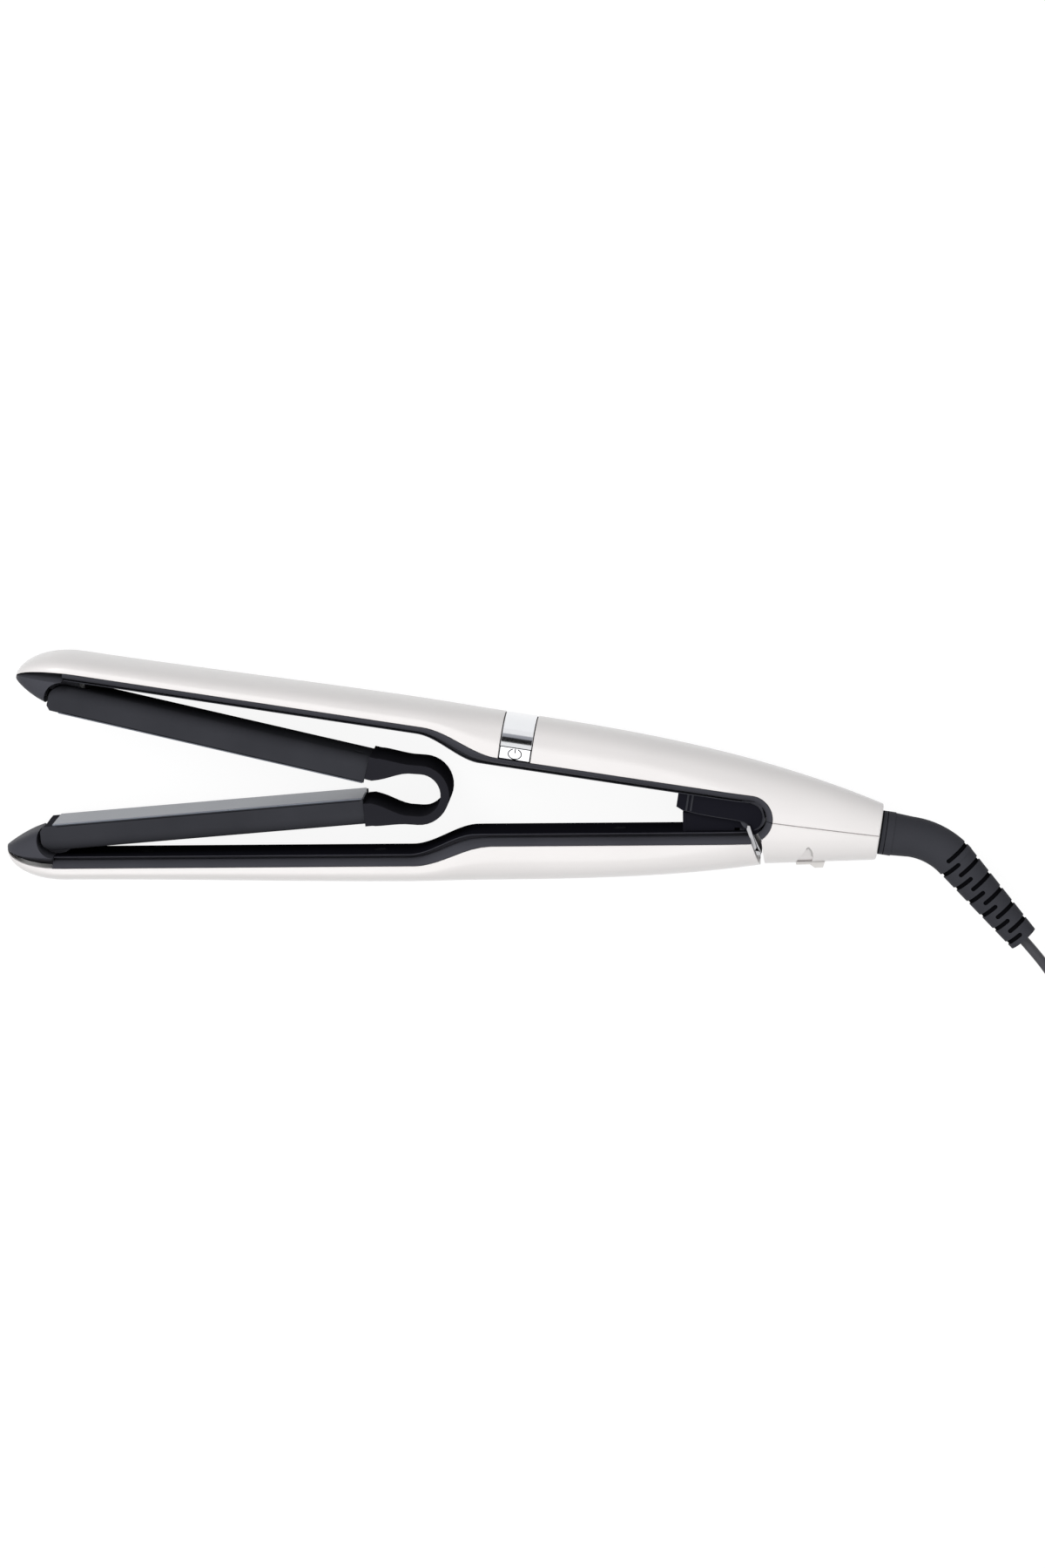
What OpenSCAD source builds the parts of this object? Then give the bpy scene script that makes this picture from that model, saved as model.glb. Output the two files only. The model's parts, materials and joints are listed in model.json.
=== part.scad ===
// Hair straightener with two long arms, a pair of self-aligning plate carriers
// joined by a spring loop, a lockable hinge and a swivelling mains cord.
// It lies on its side: Z is up, the hinge axis is vertical, and X runs from the
// tips towards the cord. Sizes are in millimetres.

/* [Arms] */
// Width of both arms, which is the height of the part as it lies
arm_w = 33; // [32:0.5:34]
// Angle between the arms when they rest open
open_angle = 9.1; // [8:0.1:9.1]
// Distance from the hinge axis to the tips
arm_reach = 252.5; // [250:0.5:254]
// Height of an arm's back over the closing plane, along the hair plates
back_y = 21.5; // [21:0.1:22]
// Height of the seam between shell and trim, along the hair plates
seam_front_y = 14.6; // [14.4:0.1:14.8]
// Height of the seam between shell and trim, along the handle
seam_handle_y = 8.1; // [8:0.1:8.2]
// Height of the trim's inner face, along the hair plates
face_front_y = 11.4; // [11.2:0.1:11.5]
// Height of the trim's inner face, along the handle
face_handle_y = 4.7; // [4.7:0.1:4.8]
// Wall thickness of the shells
wall = 2; // [1.8:0.1:2.1]
// Wall thickness of the trims
trim_t = 1.6; // [1.4:0.1:1.6]

/* [Plates] */
// Length of a hair plate
plate_len = 105; // [104:0.5:105]
// Width of a hair plate
plate_w = 23.5; // [23:0.5:23.5]
// Thickness of a hair plate
plate_t = 1.6; // [1.5:0.1:1.6]
// Width of a plate carrier
carrier_w = 25; // [25:0.5:25.5]
// Height of a carrier's back over the closing plane
carrier_y = 9.4; // [9.2:0.1:9.4]
// Distance between the closed plates
plate_gap = 0.3; // [0.3:0.1:0.4]
// Distance from the hinge axis to a carrier's front pivot
pivot_reach = 234.7; // [234.5:0.1:234.9]
// Distance from a front pivot to the bending point of the spring loop
link_len = 119.1; // [119:0.1:119.2]
// Height of a front pivot over the closing plane
pivot_y = 5; // [4.9:0.1:5.1]

/* [Hinge] */
// Diameter of the hinge pin
hinge_pin_d = 4; // [3.8:0.1:4.1]
// Radius of the hinge ears and of the knuckle between them
ear_r = 4.3; // [4.2:0.1:4.3]
// Distance from the hinge axis to the rear end of the body
body_end = 43; // [42.5:0.5:43]

/* [Controls] */
// Width of the chrome band and of the power button in it
band_w = 10.8; // [10.6:0.1:11]
// Distance from the hinge axis to the middle of the band
band_reach = 81.7; // [81:0.1:82]
// Travel of the lock slider
lock_travel = 4; // [3:0.5:4]

/* [Cord] */
// Thickness of the flat twin cord
cord_t = 3.2; // [3:0.1:3.2]
// Width of the flat twin cord
cord_w = 5.2; // [5:0.1:5.2]
// Mean radius of the coiled stretch
coil_r = 36; // [35:0.5:36]
// Bend of the strain relief
elbow_bend = 40.6; // [40:0.1:41]

/* [Hidden] */
$fn = 48;

// Colours
pearl = [0.93, 0.92, 0.92];
graphite = [0.23, 0.23, 0.26];
soft_black = [0.12, 0.12, 0.13];
chrome = [0.8, 0.81, 0.83];
steel = [0.6, 0.61, 0.63];
plate_grey = [0.42, 0.44, 0.48];
lock_grey = [0.76, 0.74, 0.72];
board_green = [0.1, 0.4, 0.25];
brass = [0.75, 0.6, 0.3];
ceramic = [0.9, 0.88, 0.8];
wire_red = [0.7, 0.15, 0.12];

// The origin lies under the middle of the outline, on the resting surface
origin_x = 76.4;
origin_y = 17.65;
half_w = arm_w / 2;

// Nose: from nose_x forwards the outline closes to a rounded tip
nose_len = 20.8;
nose_cut = 0.985;
nose_x = -arm_reach + nose_len * nose_cut;
nose_power = 2.3;
nose_back_y = 20;
tip_back_y = 9.1;
tip_seam_y = 8.9;

// Sides: a resting flat is left where the rounded section passes half_w
flat_swell = 0.45;
side_power = 2.5;
end_power = 2.05;
end_r = 9.6;
lower_end_r = 9.4;
taper_x = -10;
taper_power = 1.6;
level_from_x = -40;
level_to_x = 12;

// Back of the body behind the handle
back_fall_x = -100;
back_fall = back_y - end_r;
under_front_x = 6.6;
under_front_y = 15.9;
under_slope = (under_front_y - lower_end_r) / (body_end - under_front_x);

// Step between the hair plates and the handle
seam_step = [-113.5, -87.5];
face_step = [-115.5, -93];

// Round end of the trim around the hinge
round_x = -1.3;
round_r = seam_handle_y;
round_in_r = face_handle_y;
round_play = 0.1;
round_z = 15.3;
lip_in = 5.5;
lip_z = 10.8;
lip_floor_z = 10.4;
inner_wall_r = 6.4;
rear_trim_angle = 50;
lean = 0.3226;
lean_from_x = -20;
gap_foot_x = 6.9;

// Band and groove
band_x = -band_reach;
band_t = 0.5;
groove_edge = 0.2;
button_top_angle = 19;
arc_angles = [0, button_top_angle, 34, 47, 60, 70, 80, 90, 100, 110, 120, 133, 146, 161, 180];

// Screws, hinge, spring and shrouds
boss_r = 2.6;
screw_r = 1;
screw_head_r = 2.1;
screw_head_t = 1.3;
screw_len = 6;
ear_z = [7.6, 10.2];
knuckle_z = 7.2;
spring_t = 0.8;
spring_z = 13;
spring_tip = [-1.3, -2.7];
spring_root = [0.1, -5.2];
spring_foot = [4.1, -11.3];
foot_x = [4.1, 9];
foot_y = -11.3;
foot_z = 8.5;
shroud_x = [-25.8, -5.2];
shroud_low = -2;
shroud_z = 10.5;
cheek_z = [10.25, 10.7];
cheek_play = 0.15;
trim_edge = 0.4;
cap_low_y = 2.3;
cap_rise = 6.3;
cap_from_x = -238.5;
cap_run = 14;
cap_power = 1.5;

// Plate carriers
seam_cap_x = nose_x - nose_len * sin(10);
carrier_front_x = -239.6;
carrier_back_x = -130;
pivot_x = -sqrt(pivot_reach * pivot_reach - pivot_y * pivot_y);
plate_x = carrier_back_x - plate_len - 0.4;
plate_y = plate_gap / 2;
lip_y = 0.65;
pivot_pin_r = 1.25;
lug_r = 6.2;
lug_z = 4.5;
lug_low_y = 2.6;
lug_play = 0.9;
mouth_r = 6.4;
carrier_bend = 4.2;
carrier_nose = [5.2, 5.6];
carrier_chamfer = [1.3, 1.5];
fit = 0.15;
pocket_x = [-226, -141];
pocket_y = 7.9;
pocket_z = 9.5;
heater_x = [-215, -155];
heater_y = 4.2;
heater_z = 6;
clip_x = [-212, -158];
clip_y = 5;
clip_t = 0.7;
half_open = open_angle / 2;
arm_offset = asin(pivot_y / pivot_reach);
link_closed = asin(pivot_y / link_len);
link_open = asin(pivot_reach * sin(arm_offset + half_open) / link_len);
carrier_tilt = link_open - link_closed - half_open;

open_pivot_play = 0.6;
pivot_pin_z = 10.4;
loop_x = -111.9;
loop_r = [7.15, 10.05];
loop_w = 26;
loop_block_y = [2, 9.7];
loop_gap = 0.1;
loop_tongue_x = -138.2;
loop_tongue_y = [3.15, 7.15];
loop_tongue_z = 10;
loop_screw_x = -134;
loop_screw_z = [-6, 6];

// Controls
button_in_z = 12.6;
button_top_y = seam_handle_y + (back_at(band_x) - seam_handle_y) * sin(button_top_angle);
lead_d = 1.5;
lead_z = 4;
lead_route = [[-104, 14.4], [-118, 15.6], [-170, 15.7], [-226, 15.3]];
lower_lead_start = [[-12, 9], [-60, 10.5], [-93, 12]];
mains_lead_route = [[28, 1], [20, 6], [8, 11], [-10, 12.6], [-32.4, 11.4]];
board_x = [-92, -33];
board_y = 10.6;
board_t = 1.6;
board_half_w = 9;
switch_t = 1.7;
window_x = -63;
window_size = [18, 1.4, 10];
temp_x = [-46, -37];
temp_r = 2.4;
screw_x = [-205, -126, -29];
lower_screw_x = [-205, -126, -45];
lower_handle_stations = [-87, -66, -45, -32, -25, -18, -12, -6];

// Strain relief and the socket that it turns in
socket_x = [32.4, 42.5];
socket_r = 7.2;
socket_rim = [33, 35];
socket_rim_r = 8.8;
stem_rim = [29.5, 32];
stem_rim_r = 6.5;
collar_r = 7.4;
collar_x = [43.3, 47.6];
neck_r = 7.2;
bend_r = 6.8;
bend_x = 53.7;
elbow_r = 25;
tail_len = 34.7;
tail_r = [6.7, 5.1];
slot_w = 1.5;
slot_pitch = 6.34;
slot_count = 6;
slot_start = [-2.6, 0.5];
slot_reach = [-1.25, 0.35];
stem_r = 4.8;
slot_depth = 1.2;

// Lock slider
lock_x = 22;
lock_y = -(under_front_y - under_slope * (lock_x - under_front_x));
lock_angle = atan(under_slope);
lock_half_w = 4.4;
lock_stem_z = 2.5;
lock_inner_y = 3.2;
dish_depth = 1.2;
dish_outline = [[-5.6, -2], [-5.4, 0.5], [-1.7, 6.2], [-1.2, 6.8], [-0.6, 6.7], [0.1, 5.7], [0.5, 4.5],
    [0.5, 2.8], [0, 0.6], [0, -2]];

// Route of the cord, over the resting surface, and its coil and plug
run_route = [
    [96.3, -28.9, 16.5], [100.8, -32.8, 16.4], [105.2, -37, 15.7], [109.2, -41.6, 14.2],
    [112.9, -46.6, 11.9], [116.3, -52, 8.9], [119.4, -57.9, 5.9], [122.1, -64.6, 3.5],
    [124.4, -71.9, 2.7]
];
tail_route = [
    [207, -61, 7.8], [207, -53, 7.8], [207, -45, 7.5], [207, -37, 6.5], [207, -29, 5.1],
    [207, -22, 3.9], [205.2, -12.8, 3], [200, -5, 3.2], [192.2, 0.2, 4.7], [183, 2, 6.4], [177, 2, 6.85]
];
coil_centre = [165, -61];
coil_layers = 2;
coil_spread = 12;
coil_edge = [coil_r - coil_spread / 2 - cord_t / 2 - 0.1, coil_r + coil_spread / 2 + cord_t / 2 + 0.1];
coil_h = coil_layers * cord_w + 0.2;
plug_base = [177, 2];
plug_t = 13.7;
plug_pin_r = 2;
plug_pin_len = 19;
plug_pin_pitch = 18.6;

// ---------------------------------------------------------------- placing

module place() {
    translate([origin_x, origin_y, half_w]) children();
}

// The lower arm is the upper one mirrored at the closing plane and swung open
module lower_side() {
    rotate([0, 0, open_angle]) mirror([0, 1, 0]) children();
}

// A carrier hangs on its front pivot and is tilted by the spring loop
module carrier_pose() {
    translate([pivot_x, pivot_y, 0]) rotate([0, 0, -carrier_tilt])
        translate([-pivot_x, -pivot_y, 0]) children();
}

// Extrudes an outline given as [y, z] along X, from x
module along_x(x, length) {
    translate([x, 0, 0]) rotate([90, 0, 90]) linear_extrude(length) children();
}

// A box from one corner to the other
module span(low, high) {
    translate(low) cube(high - low);
}

// A cylinder along Y
module post(x, y, height, r, z = 0) {
    translate([x, y, z]) rotate([-90, 0, 0]) cylinder(h = height, r = r);
}

function end_strip(first, count, flip) = [
    for (j = [0 : count / 2 - 2])
    let(quad = [first + j, first + j + 1, first + count - 2 - j, first + count - 1 - j])
    flip ? reversed(quad) : quad
];

// A closed solid through rings that all have the same even number of points
module loft(rings) {
    count = len(rings[0]);
    last = (len(rings) - 1) * count;
    points = [for (ring = rings) each ring];
    sides = [
        for (i = [0 : len(rings) - 2], j = [0 : count - 1], half = [0, 1])
        let(a = i * count + j, b = i * count + (j + 1) % count)
        half == 0 ? [a, b, b + count] : [a, b + count, a + count]
    ];
    ends = concat(end_strip(0, count, true), end_strip(last, count, false));
    polyhedron(points, concat(sides, ends), convexity = 10);
}

// ---------------------------------------------------------------- shape of the arms

function clamp01(t) = min(1, max(0, t));
function ease(t) = let(c = clamp01(t)) c * c * (3 - 2 * c);
function mix(a, b, t) = a + (b - a) * t;
function past(x, span) = ease((x - span[0]) / (span[1] - span[0]));
function nose(x) = clamp01((nose_x - x) / nose_len);
function nose_arc(x) = sqrt(1 - nose(x) * nose(x));
function round_side(t, power) = pow(1 - pow(clamp01(t), power), 1 / power);

function rear_part(x) = pow(clamp01((x - taper_x) / (body_end - taper_x)), taper_power);
function half_width(x) = mix(half_w + flat_swell, end_r, rear_part(x)) * round_side(nose(x), nose_power);

function back_at(x) = x < nose_x
    ? mix(tip_back_y, nose_back_y, nose_arc(x))
    : mix(nose_back_y, back_y, past(x, [nose_x, seam_step[0]]))
        - back_fall * pow(clamp01((x - back_fall_x) / (body_end - back_fall_x)), 3);

function under_at(x) = under_front_y - under_slope * (x - under_front_x);

function seam_at(x) = x < nose_x
    ? mix(tip_seam_y, seam_front_y, nose_arc(x))
    : x < round_x
        ? mix(seam_front_y, seam_handle_y, past(x, seam_step))
        : sqrt(max(0, round_r * round_r - (x - round_x) * (x - round_x)));

function face_at(x) = mix(face_front_y, face_handle_y, past(x, face_step));

// Height at which the section is widest
function level_at(x) = x < level_from_x
    ? seam_at(x)
    : seam_handle_y * (1 - past(x, [level_from_x, level_to_x]));

// Half width of the body at a place on its side, under a back of height top
function side_z(x, y, top) =
    let(level = level_at(x), power = mix(side_power, end_power, rear_part(x)))
    min(half_w, half_width(x) * round_side((y - level) / (top - level), power));

function inset_at(x) = abs(x - band_x) < band_w / 2 + groove_edge / 2 ? band_t : 0;

// Height of the outer skin over the closing plane: the back, or the rear lower side
function top_at(x, under) = under ? under_at(x) : back_at(x);

// Places at a given depth under the surface: depth 0 is the surface itself
function skin(x, depth, under = false, lean = 0) =
    let(
        low = under ? 0 : seam_at(x),
        swing = lean * past(x, [lean_from_x, round_x]),
        top = top_at(x + swing * (top_at(x, under) - low), under),
        rise = top - low,
        up = max(0.15, (rise - depth) / rise),
        in = max(0.15, 1 - depth / half_width(x))
    )
    [
        for (a = arc_angles)
        let(y = low + rise * sin(a), px = x + swing * (y - low))
        [px, low + (y - low) * up, sign(cos(a)) * side_z(px, y, top_at(px, under)) * in]
    ];

function reversed(list) = [for (i = [len(list) - 1 : -1 : 0]) list[i]];

function shell_ring(x, under = false, lean = 0) = concat(
    skin(x, inset_at(x), under, lean),
    reversed(skin(x, wall, under, lean))
);

function band_ring(x) = concat(
    [for (i = [1 : len(arc_angles) - 1]) skin(x, 0)[i]],
    [for (i = [len(arc_angles) - 1 : -1 : 1]) skin(x, band_t - 0.04)[i]]
);

function trim_ring(x, lean = 0) =
    let(
        seam = seam_at(x),
        face = face_at(x),
        edge = side_z(x, seam, back_at(x)),
        flat = edge - lip_in,
        swing = lean * past(x, [lean_from_x, round_x]),
        outline = [
            [seam, edge], [face, flat], [face, -flat], [seam, -edge],
            [seam, wall - edge], [face + trim_t, trim_edge - flat],
            [face + trim_t, flat - trim_edge], [seam, edge - wall]
        ]
    )
    [for (p = reversed(outline)) [x + swing * (p[0] - seam), p[0], p[1]]];

function cap_low(x) = cap_low_y + cap_rise * pow(clamp01((cap_from_x - x) / cap_run), cap_power);

function cap_ring(x) =
    let(seam = seam_at(x), low = cap_low(x), edge = side_z(x, seam, back_at(x)))
    [
        for (p = [[seam, -1], [mix(seam, low, 0.4), -0.96], [low, -0.78],
            [low, 0.78], [mix(seam, low, 0.4), 0.96], [seam, 1]])
        [x, p[0], p[1] * edge]
    ];

nose_stations = [for (a = [80 : -10 : 10]) nose_x - nose_len * sin(a)];
front_stations = [nose_x, -215, -190, -160, -130];
step_stations = [for (x = [-115 : 3 : -91]) x];
band_stations = [
    band_x - band_w / 2 - groove_edge, band_x - band_w / 2,
    band_x + band_w / 2, band_x + band_w / 2 + groove_edge
];
handle_stations = [-66, -54, -40, -32, -25, -18, -12, -6];
round_stations = [for (a = [0 : 15 : 90]) round_x + round_r * sin(a)];
rear_stations = [11, 16, 22, 28, 34, 39, body_end];
under_stations = [1, 6, 11, 16, 22, 28, 34, 39, body_end];
dish_stations = [13, 16, 19, 22, 25];

// ---------------------------------------------------------------- shells and trims

module screw_boss(x) {
    post(x, face_at(x) + trim_t, back_at(x) - wall / 2 - face_at(x) - trim_t, boss_r);
}

module screw_bore(x) {
    post(x, face_at(x), screw_len + 1, screw_r + 0.05);
}

module screw_hole(x) {
    post(x, face_at(x) - 1, 1 + screw_head_t, screw_head_r + 0.2);
    post(x, face_at(x) - 1, 2 + trim_t, screw_r + 0.15);
}

module case_screw(x) {
    post(x, face_at(x) + 0.05, screw_head_t - 0.05, screw_head_r);
    post(x, face_at(x) + screw_head_t - 0.1, screw_len - screw_head_t, screw_r);
}

module power_opening() {
    span(
        [band_x - band_w / 2 + 0.05, seam_handle_y - 1, button_in_z - 2],
        [band_x + band_w / 2 - 0.05, button_top_y - 0.05, half_w + 1]
    );
}

module upper_shell() {
    stations = concat(nose_stations, front_stations, step_stations, band_stations,
        handle_stations, round_stations, rear_stations);
    color(pearl) place() difference() {
        union() {
            loft([for (x = stations) shell_ring(x)]);
            for (x = screw_x) screw_boss(x);
        }
        for (x = screw_x) screw_bore(x);
        power_opening();
    }
}

module lower_shell() {
    stations = concat(nose_stations, front_stations, step_stations, lower_handle_stations, [round_x]);
    color(pearl) place() lower_side() difference() {
        union() {
            loft([for (x = stations) shell_ring(x, false, lean)]);
            for (x = lower_screw_x) screw_boss(x);
        }
        for (x = lower_screw_x) screw_bore(x);
    }
}

module lock_frame() {
    translate([lock_x, lock_y, 0]) rotate([0, 0, lock_angle]) children();
}

// Opening for the lock slider's stem, and the finger dish across the underside
module lock_openings() {
    lock_frame()
        span([-2.2 - lock_travel, -2, -lock_stem_z - 0.3], [2.7, 4, lock_stem_z + 0.3]);
    difference() {
        lock_frame() linear_extrude(2 * half_w, center = true) polygon(dish_outline);
        mirror([0, 1, 0]) loft([for (x = dish_stations) concat(skin(x, dish_depth, true), [[x, 0, 0]])]);
    }
}

// What the rear lower shell leaves free for the hinge and the lower arm
module arm_clearance() {
    corner = [round_x + round_r * cos(rear_trim_angle), -round_r * sin(rear_trim_angle)];
    translate([round_x, 0, 0]) cylinder(h = 3 * half_w, r = round_r, center = true);
    linear_extrude(3 * half_w, center = true)
        polygon([[-5, 1], [round_x, 1], corner, [gap_foot_x, -17], [gap_foot_x, -20], [-5, -20]]);
}

module rear_lower_shell() {
    color(pearl) place() {
        difference() {
            mirror([0, 1, 0]) loft([for (x = under_stations) shell_ring(x, true)]);
            arm_clearance();
            lock_openings();
        }
        for (side = [-1, 1]) span(
            [foot_x[0] + 1.6, foot_y + spring_t, side > 0 ? 6 : -14],
            [foot_x[1] + 1, foot_y + spring_t + 1.4, side > 0 ? 14 : -6]
        );
    }
}

// Sloping lip and wall that run round the hinge, from angle start over sweep degrees
module round_end(start, sweep) {
    outer = round_r - round_play;
    translate([round_x, 0, 0]) rotate([0, 0, start]) rotate_extrude(angle = sweep)
        polygon([
            [outer, round_z], [round_in_r, lip_z], [round_in_r, lip_floor_z],
            [inner_wall_r, lip_floor_z], [inner_wall_r, -lip_floor_z],
            [round_in_r, -lip_floor_z], [round_in_r, -lip_z], [outer, -round_z]
        ]);
}

module hinge_ears() {
    for (side = [-1, 1]) translate([0, 0, side * (ear_z[0] + ear_z[1]) / 2]) {
        cylinder(h = ear_z[1] - ear_z[0], r = ear_r, center = true);
        span(
            [-ear_r, 0, (ear_z[0] - ear_z[1]) / 2],
            [2, face_handle_y + 0.6, (ear_z[1] - ear_z[0]) / 2]
        );
    }
}

module upper_trim() {
    stations = concat([seam_cap_x], front_stations, step_stations, band_stations, handle_stations, [round_x]);
    color(graphite) place() difference() {
        union() {
            loft([for (x = stations) trim_ring(x)]);
            round_end(0, 90);
            hinge_ears();
        }
        cylinder(h = 3 * half_w, r = hinge_pin_d / 2 + 0.02, center = true);
        for (x = screw_x) screw_hole(x);
        for (x = temp_x) post(x, face_handle_y - 1, 4, temp_r + 0.2);
        span(
            [window_x - window_size[0] / 2 - 0.1, face_handle_y - 1, -window_size[2] / 2 - 0.1],
            [window_x + window_size[0] / 2 + 0.1, face_handle_y + 3, window_size[2] / 2 + 0.1]
        );
    }
}

module rear_trim() {
    color(graphite) place() round_end(-rear_trim_angle, rear_trim_angle);
}

module lower_trim() {
    stations = concat([seam_cap_x], front_stations, step_stations, lower_handle_stations, [round_x]);
    color(graphite) place() lower_side() difference() {
        union() {
            loft([for (x = stations) trim_ring(x, lean)]);
            cylinder(h = 2 * knuckle_z, r = ear_r, center = true);
            span([-ear_r, 0, -knuckle_z], [-hinge_pin_d / 2 - 0.5, face_handle_y + 1, knuckle_z]);
        }
        cylinder(h = 3 * half_w, r = hinge_pin_d / 2 + 0.05, center = true);
        for (x = lower_screw_x) screw_hole(x);
    }
}

// Dark nose piece, with the lug that carries a plate carrier's front pivot
module tip_cap() {
    difference() {
        union() {
            difference() {
                loft([for (x = nose_stations) cap_ring(x)]);
                translate([pivot_x, pivot_y, 0]) cylinder(h = 3 * half_w, r = mouth_r, center = true);
            }
            intersection() {
                translate([pivot_x, pivot_y, 0]) cylinder(h = 2 * lug_z, r = lug_r, center = true);
                span([pivot_x - lug_r, lug_low_y, -half_w], [pivot_x + lug_r, pivot_y + lug_r, half_w]);
            }
            span([pivot_x - mouth_r - 2, pivot_y - 0.6, -lug_z], [pivot_x - lug_r / 2, pivot_y + 2, lug_z]);
        }
        translate([pivot_x, pivot_y, 0]) cylinder(h = 3 * lug_z, r = pivot_pin_r + 0.02, center = true);
    }
}

module upper_tip_cap() {
    color(graphite) place() tip_cap();
}

module lower_tip_cap() {
    color(graphite) place() lower_side() tip_cap();
}

module pivot_pin() {
    translate([pivot_x, pivot_y, 0]) cylinder(h = 2 * pivot_pin_z, r = pivot_pin_r, center = true);
}

module upper_pivot_pin() {
    color(steel) place() pivot_pin();
}

module lower_pivot_pin() {
    color(steel) place() lower_side() pivot_pin();
}

module upper_case_screws() {
    color(soft_black) place() for (x = screw_x) case_screw(x);
}

module lower_case_screws() {
    color(soft_black) place() lower_side() for (x = lower_screw_x) case_screw(x);
}

module hinge_pin() {
    color(steel) place() cylinder(h = 2 * ear_z[1], r = hinge_pin_d / 2, center = true);
}

// Flat steel spring in the gap between the lower arm and the rear shell
module opening_spring() {
    color(steel) place() {
        linear_extrude(2 * spring_z, center = true)
            polygon([spring_root, spring_foot, spring_foot + [spring_t, 0], spring_root + [spring_t, 0]]);
        for (side = [-1, 1]) {
            translate([0, 0, side * (spring_z + lip_z) / 2]) linear_extrude(spring_z - lip_z, center = true)
                polygon([spring_tip, spring_root, spring_root + [spring_t, 0]]);
            span(
                [foot_x[0], foot_y, side > 0 ? 5 : -foot_z],
                [foot_x[1], foot_y + spring_t, side > 0 ? foot_z : -5]
            );
        }
    }
}

// Covers over the leads that pass from arm to arm
module upper_wire_shroud() {
    color(soft_black) place() {
        span([shroud_x[0], shroud_low, -shroud_z], [shroud_x[0] + 1.9, face_handle_y, shroud_z]);
        for (side = [-1, 1]) span(
            [shroud_x[0], shroud_low, side > 0 ? shroud_z - 1.5 : -shroud_z],
            [shroud_x[1], face_handle_y, side > 0 ? shroud_z : 1.5 - shroud_z]
        );
        for (side = [-1, 1]) translate([0, 0, side * (cheek_z[0] + cheek_z[1]) / 2])
            linear_extrude(cheek_z[1] - cheek_z[0], center = true) cheek();
    }
}

// Thin side of the cover, with a round end that hides the hinge pin
module cheek() {
    r = round_in_r - cheek_play;
    translate([round_x, 0]) circle(r);
    polygon([[shroud_x[0], shroud_low + 1], [round_x - r / 2, shroud_low], [round_x, 0],
        [round_x, face_handle_y], [shroud_x[0], face_handle_y]]);
}

module lower_wire_shroud() {
    inner_z = shroud_z - 2.1;
    color(soft_black) place() lower_side() difference() {
        linear_extrude(2 * inner_z, center = true)
            polygon([[-22.2, face_handle_y], [-22.2, -1.8], [-6, -0.6], [-6, face_handle_y]]);
        span([-20.7, -4, 1.4 - inner_z], [-7.4, face_handle_y + 1, inner_z - 1.4]);
    }
}

// ---------------------------------------------------------------- controls and electronics

module chrome_band() {
    color(chrome) place() loft([for (side = [-1, 1]) band_ring(band_x + side * band_w / 2)]);
}

module power_button() {
    color(chrome) place() {
        span(
            [band_x - band_w / 2 + 0.2, seam_handle_y + 0.25, button_in_z],
            [band_x + band_w / 2 - 0.2, button_top_y - 0.2, half_w]
        );
        span(
            [band_x - band_w / 2 - 0.8, seam_handle_y + 0.5, button_in_z],
            [band_x + band_w / 2 + 0.8, button_top_y + 0.7, button_in_z + 0.8]
        );
    }
}

module temp_button(x) {
    color(soft_black) place() {
        post(x, face_handle_y - 0.8, 4.1, temp_r);
        post(x, face_handle_y + trim_t + 0.15, 0.8, temp_r + 0.8);
    }
}

module temp_up_button() {
    temp_button(temp_x[0]);
}

module temp_down_button() {
    temp_button(temp_x[1]);
}

module display_window() {
    color(soft_black) place() translate([window_x, face_handle_y + 0.1 + window_size[1] / 2, 0])
        cube(window_size, center = true);
}

module display_module() {
    color(ceramic) place() span(
        [window_x - window_size[0] / 2 + 1, face_handle_y + window_size[1] + 0.3, -4.5],
        [window_x + window_size[0] / 2 - 1, board_y, 4.5]
    );
}

module circuit_board() {
    color(board_green) place() span(
        [board_x[0], board_y, -board_half_w],
        [board_x[1], board_y + board_t, board_half_w]
    );
}

module tact_switches() {
    color(soft_black) place() {
        for (x = temp_x) span([x - 2.5, board_y - switch_t, -2.5], [x + 2.5, board_y, 2.5]);
        span([band_x - 2.5, seam_handle_y + 0.8, 9], [band_x + 2.5, seam_handle_y + 4, button_in_z - 1.1]);
    }
}

module board_components() {
    board_top = board_y + board_t;
    color(graphite) place() {
        post(-45, board_top, 4.6, 3.5);
        span([-66, board_top, -5], [-56, board_top + 4, 3]);
        span([-80, board_top, -2], [-72, board_top + 2, 6]);
    }
}

// Closed tube through the points of a route, with width across and height upwards
module sweep(route, width, height, sides) {
    last = len(route) - 1;
    rings = [
        for (i = [0 : last])
        let(
            ahead = route[min(last, i + 1)] - route[max(0, i - 1)],
            run = ahead / norm(ahead),
            across = cross([0, 0, 1], run),
            flat = across / norm(across),
            up = cross(run, flat)
        )
        [
            for (k = [0 : sides - 1])
            let(a = -360 * (k + 0.5) / sides)
            route[i] + flat * cos(a) * width / 2 + up * sin(a) * height / 2
        ]
    ];
    loft(rings);
}

module heater_leads(start) {
    for (z = [-lead_z, lead_z])
        sweep([for (p = concat(start, lead_route)) [p[0], p[1], z]], lead_d, lead_d, 6);
}

module upper_heater_leads() {
    color(wire_red) place() heater_leads([[-93, 11.4]]);
}

module lower_heater_leads() {
    color(wire_red) place() lower_side() heater_leads(lower_lead_start);
}

module mains_leads() {
    color(wire_red) place() for (z = [-lead_z, lead_z])
        sweep([for (p = mains_lead_route) [p[0], p[1], z]], lead_d, lead_d, 6);
}

module swivel_socket() {
    color(soft_black) place() rotate([0, 90, 0]) difference() {
        union() {
            translate([0, 0, socket_x[0]]) cylinder(h = socket_x[1] - socket_x[0], r = socket_r);
            translate([0, 0, socket_rim[0]]) cylinder(h = socket_rim[1] - socket_rim[0], r = socket_rim_r);
        }
        cylinder(h = 60, r = stem_r + 0.3);
    }
}

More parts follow.
